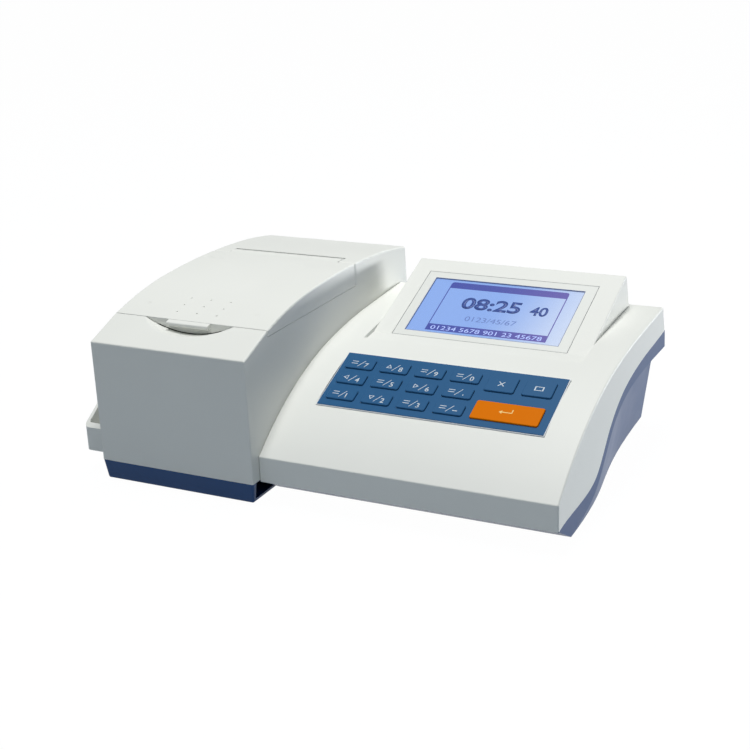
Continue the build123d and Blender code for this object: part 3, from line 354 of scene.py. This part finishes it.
class Print:
    """Flat marks gathered in one bmesh, in millimetres from a place on a face."""

    # Corners that are closer than this are joined, in millimetres.
    MERGE = 0.0005

    def __init__(self, x=0.0, y=0.0):
        self.form = bmesh.new()
        self.x = x
        self.y = y

    def polygon(self, points):
        vertices = [self.form.verts.new((self.x + x, self.y + y, 0.0)) for x, y in points]
        self.form.faces.new(vertices)

    def bar(self, x0, x1, y0, y1):
        self.polygon(((x0, y0), (x1, y0), (x1, y1), (x0, y1)))

    def stroke(self, start, end, width):
        start, end = Vector(start), Vector(end)
        side = (end - start).orthogonal().normalized() * width / 2
        self.polygon((start + side, start - side, end - side, end + side))

    def loop(self, points, width):
        """Closed outline of a convex shape, drawn inside its points."""
        outer = [Vector(point) for point in points]
        centre = sum(outer, Vector((0.0, 0.0))) / len(outer)
        reach = min((point - centre).length for point in outer)
        inner = [centre + (point - centre) * (1.0 - 2.0 * width / reach) for point in outer]
        for i in range(len(outer)):
            j = (i + 1) % len(outer)
            self.polygon((outer[i], outer[j], inner[j], inner[i]))

    def digits(self, text, x, y, height, width=None, bold=0.0):
        """Digits with their lower left corner at a place, stretched to a width if one is given."""
        mesh, natural = digits_mesh(text, height, bold)
        stretch = width / natural if width else 1.0
        shape = Matrix.Diagonal((stretch, 1.0, 1.0, 1.0))
        mesh.transform(Matrix.Translation((self.x + x, self.y + y, 0.0)) @ shape)
        self.form.from_mesh(mesh)
        bpy.data.meshes.remove(mesh)

    def mesh(self, name, matrix, thick):
        """Give the marks their thickness and return them as a mesh."""
        form = self.form
        bmesh.ops.remove_doubles(form, verts=form.verts, dist=self.MERGE)
        bmesh.ops.recalc_face_normals(form, faces=form.faces)
        for face in form.faces:
            if face.normal.z < 0:
                face.normal_flip()
        grown = bmesh.ops.extrude_face_region(form, geom=form.faces[:])
        lifted = [item for item in grown["geom"] if isinstance(item, bmesh.types.BMVert)]
        bmesh.ops.translate(form, verts=lifted, vec=(0.0, 0.0, thick))
        bmesh.ops.recalc_face_normals(form, faces=form.faces)
        mesh = new_mesh(name, form)
        mesh.transform(matrix)
        return mesh


def dress(nodes, material):
    """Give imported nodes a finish."""
    for name in nodes:
        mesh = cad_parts[name].data
        if not mesh.materials:
            mesh.materials.append(material)
        for index in range(len(mesh.materials)):
            mesh.materials[index] = material


class METER_OT_shell(bpy.types.Operator):
    """Finish the white housing, cover, lid and side tray"""

    bl_idname = "meter.shell"
    bl_label = "White shell"

    # Holes of the lid's two front screws, in millimetres from the base's corner.
    HOLE_XS = {"left": 16.7, "right": 100.0}
    HOLE_Y = 46.0
    HOLE_LOW = 111.06
    HOLE_HIGH = 111.48
    PLUG_RADIUS = 1.5
    PLUG_STEP = 15

    def execute(self, context):
        looks = context.scene.meter_shell
        white = moulded("shell_white", looks.white, rough=0.42, grain=looks.grain, sheen=0.3)
        dress(("chamber_housing", "console_cover", "chamber_lid", "side_tray"), white)
        for side, x in self.HOLE_XS.items():
            name = "lid_filler_" + side
            new_piece(name, self.filler(name, x), white, "lid")
        return {"FINISHED"}

    def filler(self, name, x):
        """Small plug, flush with the dome, for a screw hole that breaks through the lid."""
        form = bmesh.new()
        lean = radians(CHAMBER_SLOPE)
        centre_y = SLOPE_END_Y + DOME_RADIUS * sin(lean)
        centre_z = SLOPE_END_Z - DOME_RADIUS * cos(lean)
        lows, highs = [], []
        for angle in range(0, 360, self.PLUG_STEP):
            px = x + self.PLUG_RADIUS * cos(radians(angle))
            py = self.HOLE_Y + self.PLUG_RADIUS * sin(radians(angle))
            dome = centre_z + sqrt(DOME_RADIUS**2 - (py - centre_y) ** 2)
            lows.append(form.verts.new((px, py, self.HOLE_LOW)))
            highs.append(form.verts.new((px, py, min(dome, self.HOLE_HIGH))))
        form.faces.new(highs)
        form.faces.new(lows[::-1])
        for i in range(len(lows)):
            j = (i + 1) % len(lows)
            form.faces.new((lows[i], lows[j], highs[j], highs[i]))
        bmesh.ops.triangulate(form, faces=form.faces)
        mesh = new_mesh(name, form)
        mesh.transform(Matrix.Diagonal((MM, MM, MM, 1.0)) @ Matrix.Translation(BASE_CORNER))
        return mesh


class METER_OT_base(bpy.types.Operator):
    """Finish the blue base and its rubber feet"""

    bl_idname = "meter.base"
    bl_label = "Blue base"

    def execute(self, context):
        looks = context.scene.meter_shell
        blue = moulded("base_blue", looks.blue, rough=0.36, grain=looks.grain, sheen=0.2)
        rubber = moulded("foot_rubber", (0.02, 0.02, 0.021), 0.75, 0.00005, 900.0)
        dress(("base_tray",), blue)
        dress(("rubber_feet",), rubber)
        return {"FINISHED"}


class METER_OT_display(bpy.types.Operator):
    """Finish the display's frame, window and panel, and draw its picture"""

    bl_idname = "meter.display"
    bl_label = "Display"

    # The picture lies on the panel, under the window. Its places are in millimetres from the
    # window's lower left corner.
    DEPTH = -0.845
    THICK = 0.012
    LAYER_GAP = 0.003
    LEFT = 13.2
    RIGHT = 100.0
    TOP = 56.5
    TOP_BAR = 6.7
    LOW = 2.9
    LOW_BAR_TOP = 9.8
    CORNER = 2.0
    LINE = 0.75
    LINE_GAP = 0.05
    # Left edge, low edge, height and width of each group of digits.
    LARGE_PLACE = (28.8, 28.6, 12.6, 43.0)
    SMALL_PLACE = (79.0, 28.7, 9.8, 12.6)
    DATE_PLACE = (37.0, 16.0, 5.0, 37.0)
    FOOTER_PLACE = (16.5, 4.1, 4.0, 80.0)
    DATE = "0123/45/67"
    FOOTER = "01234 5678 901 23 45678"

    def execute(self, context):
        looks = context.scene.meter_display
        dress(("display_bezel",), self.bezel())
        dress(("display_window",), self.window())
        dress(("display_glass",), self.panel(looks))
        face = on_face(DISPLAY_ORIGIN, DISPLAY_TILT, self.DEPTH)
        self.matrix = face @ Matrix.Translation((WINDOW_LEFT, WINDOW_LOW, 0.0))
        self.bars(looks)
        self.time(looks)
        self.date()
        self.footer()
        return {"FINISHED"}

    def bezel(self):
        """Frame of pale grey print, darker in a thin line along its edge, with painted shade in a
        dark blue ring round the window.
        """
        made = Finish("bezel_grey")
        across, up = on_display(made)
        edge = 0.3
        bezel_right = BEZEL_LEFT + BEZEL_WIDTH
        face_box = (BEZEL_LEFT + edge, bezel_right - edge, edge, BEZEL_HEIGHT - edge)
        face = inside(across, up, face_box, soft=0.15)
        # Painted shade: a ring 0.4 mm wide round the window opening is dark blue, as the frame's
        # inner wall would shade it.
        shade_rim = 0.4
        window_right = WINDOW_LEFT + WINDOW_WIDTH
        window_high = WINDOW_LOW + WINDOW_HEIGHT
        window_shade_box = (WINDOW_LEFT - shade_rim, window_right + shade_rim, WINDOW_LOW - shade_rim, window_high + shade_rim)
        window_shade = inside(across, up, window_shade_box, soft=0.1)
        drift = made.noise(20.0, detail=3.0)
        pale = made.blend(drift, (0.735, 0.75, 0.715, 1.0), (0.765, 0.78, 0.745, 1.0))
        lined = made.blend(face, (0.42, 0.44, 0.43, 1.0), pale)
        grain = made.noise(1800.0, detail=1.0)
        return made.set(
            # The dark blue colour in the ring round the window is painted shade.
            Base_Color=made.blend(window_shade, lined, (0.16, 0.2, 0.36, 1.0)),
            Roughness=drift * 0.1 + 0.34,
            Normal=made.bump(grain, 0.2, 0.00001),
        )

    def window(self):
        smear = {"scale": 55.0, "detail": 4.0, "rough": 0.6}
        color = (0.5, 0.55, 0.6, 1.0)
        return clear("window_clear", color, smear, (0.04, 0.06), (0.01, 0.02), sheen=0.25)

    def panel(self, looks):
        """Lit panel: soft blue with a fine dot grid, and a painted glare that makes it paler and
        glow brighter towards its right end and a little towards its foot.
        """
        made = Finish("lcd_blue")
        across, up = on_display(made)
        glare_across = (across - WINDOW_LEFT) * (1.0 / WINDOW_WIDTH)
        tall = (up - WINDOW_LOW) * (1.0 / WINDOW_HEIGHT)
        # Painted glare: a reflection painted into the panel's colour and glow, rising towards the
        # right and the foot.
        painted_glare = (glare_across * 0.95 - tall * 0.1).rise(0.35, 1.15)
        base = made.blend(painted_glare, rgba(looks.glow), (0.72, 0.80, 0.95, 1.0))
        dot_pitch = 0.45
        wave_x = (across * (2 * pi / dot_pitch)).math("SINE")
        wave_y = (up * (2 * pi / dot_pitch)).math("SINE")
        dots = wave_x.most(wave_y).rise(0.9, 1.0)
        tone = made.blend(dots * 0.12, base, rgba(looks.glow, 0.7))
        return made.set(
            Base_Color=made.blend(0.6, tone, BLACK),
            Roughness=0.5,
            Specular_IOR_Level=0.1,
            Emission_Color=tone,
            Emission_Strength=0.6,
        )

    def lit(self, made, tone, glow):
        """A display ink that glows a little in its own colour."""
        return made.set(
            Base_Color=tone, Roughness=0.4, Emission_Color=tone, Emission_Strength=glow
        )

    def faded(self, name, scale, first, second, glow):
        """A display ink that drifts between two tones."""
        made = Finish(name)
        return self.lit(made, made.blend(made.noise(scale), first, second), glow)

    def show(self, name, marks, material, lift=0.0):
        matrix = self.matrix @ Matrix.Translation((0.0, 0.0, lift))
        mesh = marks.mesh(name, matrix, self.THICK)
        new_piece(name, mesh, material, "instrument")

    def bars(self, looks):
        """Bar with round corners at the top, bar at the foot, and a thin line on each side."""
        ink = Finish("display_ink")
        across, _ = on_display(ink)
        # Painted glare on the ink: it turns paler and more purple towards the right, like the panel
        # under it.
        glare_across = ((across - WINDOW_LEFT) * (1.0 / WINDOW_WIDTH)).rise(0.35, 0.95)
        tone = ink.blend(glare_across * 0.8, rgba(looks.ink), (0.10, 0.065, 0.35, 1.0))
        material = self.lit(ink, tone, 0.12)
        bars = Print()
        left, right, top = self.LEFT, self.RIGHT, self.TOP
        bar_low = top - self.TOP_BAR
        corner = self.CORNER
        round_in = 0.3 * corner
        bars.polygon(
            (
                (left, bar_low),
                (right, bar_low),
                (right, top - corner),
                (right - round_in, top - round_in),
                (right - corner, top),
                (left + corner, top),
                (left + round_in, top - round_in),
                (left, top - corner),
            )
        )
        line_low = self.LOW_BAR_TOP + self.LINE_GAP
        line_high = bar_low - self.LINE_GAP
        bars.bar(left, left + self.LINE, line_low, line_high)
        bars.bar(right - self.LINE, right, line_low, line_high)
        bars.bar(left, right, self.LOW, self.LOW_BAR_TOP)
        self.show("display_bars", bars, material)

    def time(self, looks):
        first, second = (0.02, 0.055, 0.27, 1.0), (0.03, 0.07, 0.31, 1.0)
        deep = self.faded("display_digits", 140.0, first, second, glow=0.1)
        digits = Print()
        digits.digits(looks.large, *self.LARGE_PLACE, bold=0.03)
        digits.digits(looks.small, *self.SMALL_PLACE, bold=0.024)
        self.show("display_time", digits, deep)

    def date(self):
        first, second = (0.08, 0.15, 0.42, 1.0), (0.12, 0.19, 0.5, 1.0)
        thin = self.faded("display_thin", 300.0, first, second, glow=0.15)
        digits = Print()
        digits.digits(self.DATE, *self.DATE_PLACE)
        self.show("display_date", digits, thin)

    def footer(self):
        """Pale digits on the foot bar."""
        first, second = (0.36, 0.46, 0.9, 1.0), (0.46, 0.56, 0.95, 1.0)
        pale = self.faded("display_pale", 300.0, first, second, glow=0.25)
        digits = Print()
        digits.digits(self.FOOTER, *self.FOOTER_PLACE)
        self.show("display_footer", digits, pale, lift=self.THICK + self.LAYER_GAP)


class METER_OT_keypad(bpy.types.Operator):
    """Finish the keypad sheet and keys, and draw the marks on the keys"""

    bl_idname = "meter.keypad"
    bl_label = "Keypad"

    # Left and low edges of the keys, in millimetres on the keypad's face.
    COLUMNS = (3.6, 28.55, 53.5, 78.45, 103.4, 128.35)
    ROWS = (5.7, 21.2, 36.0)
    KEY_WIDTH = 19.6
    TALL_ROW = 31.4
    TALL_HEIGHT = 14.2
    ENTER_ROW = 5.6
    ENTER_HEIGHT = 16.4
    NAMES = (("1", "2", "3", "minus"), ("4", "5", "6", "point"), ("7", "8", "9", "0"))
    ARROWS = {"8": (0.0, 1.0), "4": (-1.0, 0.0), "6": (1.0, 0.0), "2": (0.0, -1.0)}
    KEY_TOP = 1.0
    MARK_THICK = 0.02
    LINE = 0.42
    # Marks of a small key, from its left and low edges: the slash's ends, the minus and the point
    # as left, right, low and high, a digit's lower left corner, and the centre of the left mark.
    SLASH = ((8.4, 2.0), (12.4, 7.9))
    MINUS = (12.6, 15.8, 3.4, 4.0)
    POINT = (13.6, 14.4, 2.4, 3.2)
    DIGIT = (12.8, 1.7)
    LEFT_MARK = (5.6, 5.5)

    def execute(self, context):
        looks = context.scene.meter_keypad
        fine = {"grain": 0.000012, "grain_scale": 1500.0}
        sheet = moulded("keypad_blue", looks.sheet, **fine, mottle=0.06, sheen=0.12)
        orange = moulded("enter_orange", looks.enter, **fine, mottle=0.05, sheen=0.03)
        carrier = moulded("carrier_pale", (0.72, 0.75, 0.79), 0.35, 0.00001, 1500.0)
        others = ("key_switches", "key_enter")
        keys = [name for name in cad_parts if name.startswith("key_") and name not in others]
        dress(["keypad_overlay"] + keys, sheet)
        dress(("key_enter",), orange)
        dress(("keypad_carrier",), carrier)
        grey = self.mark_finish("mark_grey", looks.mark)
        height = looks.digit_height / MM
        for row, names in zip(self.ROWS, self.NAMES):
            for x, name in zip(self.COLUMNS, names):
                self.number_key(name, x, row, height, grey)
        self.clear_key(grey)
        self.cancel_key(grey)
        self.enter_key()
        return {"FINISHED"}

    def mark_finish(self, name, color):
        return moulded(name, color, rough=0.5, grain=0.000005, grain_scale=3000.0)

    def add(self, name, marks, material):
        matrix = on_face(KEYPAD_ORIGIN, KEYPAD_TILT, self.KEY_TOP)
        mesh = marks.mesh("mark_" + name, matrix, self.MARK_THICK)
        new_piece("mark_" + name, mesh, material, "key_" + name + "_cap")

    def number_key(self, name, x, row, height, material):
        """A long slash, a digit at its lower right, and an arrow or two bars at its upper left."""
        marks = Print(x, row)
        marks.stroke(*self.SLASH, self.LINE)
        if name == "minus":
            marks.bar(*self.MINUS)
        elif name == "point":
            marks.bar(*self.POINT)
        else:
            marks.digits(name, *self.DIGIT, height, bold=0.012)
        if name in self.ARROWS:
            self.arrow(marks, Vector(self.LEFT_MARK), Vector(self.ARROWS[name]))
        else:
            self.two_bars(marks, *self.LEFT_MARK)
        self.add(name, marks, material)

    def arrow(self, marks, centre, ahead):
        """Open triangle that points ahead."""
        tip, tail, half = 1.9, 1.5, 2.0
        side = Vector((ahead.y, -ahead.x)) * half
        back = centre - ahead * tail
        marks.loop((centre + ahead * tip, back + side, back - side), self.LINE)

    def two_bars(self, marks, x, y):
        left, right, thick = x - 2.4, x + 2.0, 0.5
        for low in (y - 1.1, y + 0.9):
            marks.bar(left, right, low, low + thick)

    def on_tall_key(self, column):
        """Marks whose places are measured from the middle of one of the two tall keys."""
        middle = self.COLUMNS[column] + self.KEY_WIDTH / 2
        return Print(middle, self.TALL_ROW + self.TALL_HEIGHT / 2)

    def clear_key(self, material):
        """A cross."""
        marks = self.on_tall_key(4)
        reach, line = 1.9, 0.6
        marks.stroke((-reach, -reach), (reach, reach), line)
        marks.stroke((-reach, reach), (reach, -reach), line)
        self.add("clear", marks, material)

    def cancel_key(self, material):
        """An open box."""
        marks = self.on_tall_key(5)
        right, high, line = 3.0, 1.9, 0.45
        marks.loop(((-right, -high), (right, -high), (right, high), (-right, high)), line)
        self.add("cancel", marks, material)

    def enter_key(self):
        """A return arrow in pale yellow, measured from the middle of the large key."""
        middle = (self.COLUMNS[4] + self.COLUMNS[5] + self.KEY_WIDTH) / 2
        marks = Print(middle, self.ENTER_ROW + self.ENTER_HEIGHT / 2)
        left, right, half = -3.2, 3.4, 0.35
        marks.bar(left, right, -half, half)
        post_low, post_high = 0.4, 3.0
        marks.bar(right - 2 * half, right, post_low, post_high)
        tip, back, wing = -5.4, -3.3, 1.5
        marks.polygon(((tip, 0.0), (back, -wing), (back, wing)))
        self.add("enter", marks, self.mark_finish("mark_yellow", (0.87, 0.62, 0.2)))


class METER_OT_inside(bpy.types.Operator):
    """Finish the sample well, the optics, the boards and everything under the covers"""

    bl_idname = "meter.inside"
    bl_label = "Inside"

    BLACK_PARTS = (
        "lid_liner",
        "chamber_deck",
        "well_collar",
        "lamp_tube",
        "transmission_tube",
        "scatter_tube",
        "key_switches",
        "board_chips",
    )
    BOARDS = (
        "display_module",
        "keypad_board",
        "main_board",
        "optics_board",
        "lamp_module",
        "transmission_detector",
        "scatter_detector",
    )

    def execute(self, context):
        black = moulded("inner_black", (0.018, 0.018, 0.02), 0.6, 0.00003, 2200.0)
        foam = moulded("seal_foam", (0.025, 0.025, 0.027), 0.95, 0.00025, 700.0)
        board = moulded("board_green", (0.02, 0.13, 0.05), 0.3, 0.00001, 1500.0, mottle=0.15)
        smear = {"scale": 120.0, "detail": 3.0}
        lens = clear("lens_glass", (0.95, 0.97, 1.0, 1.0), smear, (0.02, 0.05), (0.3, 0.05))
        dress(self.BLACK_PARTS, black)
        dress(("light_seal",), foam)
        dress(("cell_holder",), metal("holder_alloy", (0.07, 0.07, 0.075), 0.4, 0.1))
        dress(self.BOARDS, board)
        dress(("preamp_shield", "clock_battery"), metal("can_steel", (0.6, 0.6, 0.59), 0.28, 0.1))
        dress(("signal_cable",), moulded("cable_grey", (0.35, 0.35, 0.37), 0.5))
        dress(("lamp_lens",), lens)
        return {"FINISHED"}


class METER_OT_hardware(bpy.types.Operator):
    """Finish the rear sockets, the rocker, the hinge pin and the screws"""

    bl_idname = "meter.hardware"
    bl_label = "Sockets and screws"

    STEEL_PARTS = (
        "tray_screws",
        "liner_screws",
        "module_screws",
        "board_screws",
        "base_screws",
        "hinge_pin",
    )

    def execute(self, context):
        black = moulded("socket_black", (0.02, 0.02, 0.022), 0.45, 0.00002, 2400.0)
        rocker = moulded("rocker_black", (0.022, 0.022, 0.024), 0.25, 0.00001, 2400.0)
        dress(("power_jack", "switch_frame"), black)
        dress(("power_rocker",), rocker)
        dress(("serial_port",), metal("port_metal", (0.62, 0.62, 0.6), 0.22, 0.06))
        dress(self.STEEL_PARTS, metal("screw_steel", (0.56, 0.56, 0.57), 0.3, 0.12))
        return {"FINISHED"}


class METER_OT_stage(bpy.types.Operator):
    """Add the pale floor, the soft studio lamps and the camera"""

    bl_idname = "meter.stage"
    bl_label = "Studio"

    FLOOR_REACH = 6.0
    FLOOR_COLOR = (0.37, 0.43, 0.50, 1.0)
    # How much of the floor that is seen is plain white, and how bright that white is.
    FLOOR_WHITE = 0.96
    FLOOR_SHINE = 1.03
    SKY_COLOR = (0.80, 0.90, 1.0, 1.0)
    SKY_STRENGTH = 0.19
    # Places and sizes of the lamps, in metres.
    OVERHEAD_PLACE = (0.0, 0.0, 1.5)
    OVERHEAD_SIZE = (0.35, 1.4)
    OVERHEAD_COLOR = (1.0, 0.995, 0.98)
    SIDE_PLACE = (1.0, 1.1, 0.06)
    SIDE_SIZE = (0.6, 0.1)
    SIDE_COLOR = (0.97, 0.98, 1.0)
    SIDE_AIM = (0.0, 0.0, 0.05)
    CAMERA_PLACE = Vector((414.35, -808.90, 379.77)) * MM
    CAMERA_YAW = 27.24
    CAMERA_PITCH = 19.69
    CAMERA_ROLL = -2.42
    SENSOR_WIDTH = 36.0

    def execute(self, context):
        scene = context.scene
        looks = scene.meter_studio
        self.floor()
        self.world(scene)
        self.lamp(
            "overhead", self.OVERHEAD_PLACE, self.OVERHEAD_SIZE, looks.overhead, self.OVERHEAD_COLOR
        )
        side = self.lamp("side_fill", self.SIDE_PLACE, self.SIDE_SIZE, looks.side, self.SIDE_COLOR)
        aim = Vector(self.SIDE_AIM) - Vector(self.SIDE_PLACE)
        side.rotation_euler = aim.to_track_quat("-Z", "Y").to_euler()
        self.camera(scene, looks)
        scene.view_settings.view_transform = "Standard"
        return {"FINISHED"}

    def lamp(self, name, place, size, power, color):
        """Soft lamp that shines straight down."""
        data = bpy.data.lights.new(name, "AREA")
        data.shape = "RECTANGLE"
        data.size, data.size_y = size
        data.energy = power
        data.color = color
        lamp = bpy.data.objects.new(name, data)
        lamp.location = place
        bpy.context.scene.collection.objects.link(lamp)
        return lamp

    def floor(self):
        """Pale floor that the camera sees as white."""
        reach = self.FLOOR_REACH
        form = bmesh.new()
        corners = ((-reach, -reach), (reach, -reach), (reach, reach), (-reach, reach))
        form.faces.new([form.verts.new((x, y, 0.0)) for x, y in corners])
        mesh = new_mesh("studio_floor", form)
        floor = bpy.data.objects.new("studio_floor", mesh)
        bpy.context.scene.collection.objects.link(floor)
        made = Finish("studio_floor")
        made.set(Base_Color=self.FLOOR_COLOR, Roughness=0.9, Specular_IOR_Level=0.0)
        shine = {"Color": WHITE, "Strength": self.FLOOR_SHINE}
        white = made.node("ShaderNodeEmission", None, shine)["Emission"]
        path = made.node("ShaderNodeLightPath")
        seen = path["Is Camera Ray"].most(path["Is Glossy Ray"]).most(path["Is Transmission Ray"])
        plain = Value(made.tree, made.shader.outputs[0])
        shaders = {0: seen * self.FLOOR_WHITE, 1: plain, 2: white}
        mixed = made.node("ShaderNodeMixShader", None, shaders)["Shader"]
        put(made.tree, made.tree.nodes["Material Output"].inputs["Surface"], mixed)
        mesh.materials.append(made.material)

    def world(self, scene):
        """Pale blue light from all round, which the camera sees as white."""
        world = bpy.data.worlds.new("studio_world")
        world.use_nodes = True
        scene.world = world
        tree = world.node_tree
        soft = tree.nodes["Background"]
        soft.inputs["Color"].default_value = self.SKY_COLOR
        soft.inputs["Strength"].default_value = self.SKY_STRENGTH
        plain = Value(tree, soft.outputs[0])
        shine = {"Color": WHITE, "Strength": 1.0}
        white = add_node(tree, "ShaderNodeBackground", None, shine)["Background"]
        path = add_node(tree, "ShaderNodeLightPath")
        seen = path["Is Camera Ray"].most(path["Is Transmission Ray"])
        shaders = {0: seen, 1: plain, 2: white}
        mixed = add_node(tree, "ShaderNodeMixShader", None, shaders)["Shader"]
        put(tree, tree.nodes["World Output"].inputs["Surface"], mixed)

    def camera(self, scene, looks):
        data = bpy.data.cameras.new("camera")
        data.lens = looks.lens
        data.sensor_width = self.SENSOR_WIDTH
        data.clip_start = 0.01
        camera = bpy.data.objects.new("camera", data)
        scene.collection.objects.link(camera)
        yaw, pitch = radians(self.CAMERA_YAW), radians(self.CAMERA_PITCH)
        roll = radians(self.CAMERA_ROLL)
        right = Vector((cos(yaw), sin(yaw), 0.0))
        back = Vector((sin(yaw) * cos(pitch), -cos(yaw) * cos(pitch), sin(pitch)))
        up = back.cross(right)
        turned_right = right * cos(roll) + up * sin(roll)
        turned_up = up * cos(roll) - right * sin(roll)
        turn = Matrix((turned_right, turned_up, back)).transposed().to_4x4()
        camera.matrix_world = Matrix.Translation(self.CAMERA_PLACE) @ turn
        scene.camera = camera


class METER_PT_panel(bpy.types.Panel):
    """Buttons for the pieces and the settings of their sizes and colours"""

    bl_idname = "METER_PT_panel"
    bl_label = "Bench meter"
    bl_space_type = "VIEW_3D"
    bl_region_type = "UI"
    bl_category = "Meter"

    def draw(self, context):
        layout = self.layout
        for operator in OPERATORS:
            layout.operator(operator.bl_idname)
        for name, group in GROUPS.items():
            box = layout.box()
            settings = getattr(context.scene, name)
            for key in group.__annotations__:
                box.prop(settings, key)


OPERATORS = (
    METER_OT_shell,
    METER_OT_base,
    METER_OT_display,
    METER_OT_keypad,
    METER_OT_inside,
    METER_OT_hardware,
    METER_OT_stage,
)
GROUPS = {
    "meter_shell": MeterShell,
    "meter_keypad": MeterKeypad,
    "meter_display": MeterDisplay,
    "meter_studio": MeterStudio,
}


def register():
    for group in GROUPS.values():
        bpy.utils.register_class(group)
    for name, group in GROUPS.items():
        setattr(bpy.types.Scene, name, PointerProperty(type=group))
    for operator in OPERATORS:
        bpy.utils.register_class(operator)
    bpy.utils.register_class(METER_PT_panel)


def unregister():
    bpy.utils.unregister_class(METER_PT_panel)
    for operator in reversed(OPERATORS):
        bpy.utils.unregister_class(operator)
    for name in GROUPS:
        delattr(bpy.types.Scene, name)
    for group in GROUPS.values():
        bpy.utils.unregister_class(group)


def main():
    register()
    bpy.ops.meter.shell()
    bpy.ops.meter.base()
    bpy.ops.meter.display()
    bpy.ops.meter.keypad()
    bpy.ops.meter.inside()
    bpy.ops.meter.hardware()
    bpy.ops.meter.stage()


if __name__ == "__main__":
    main()
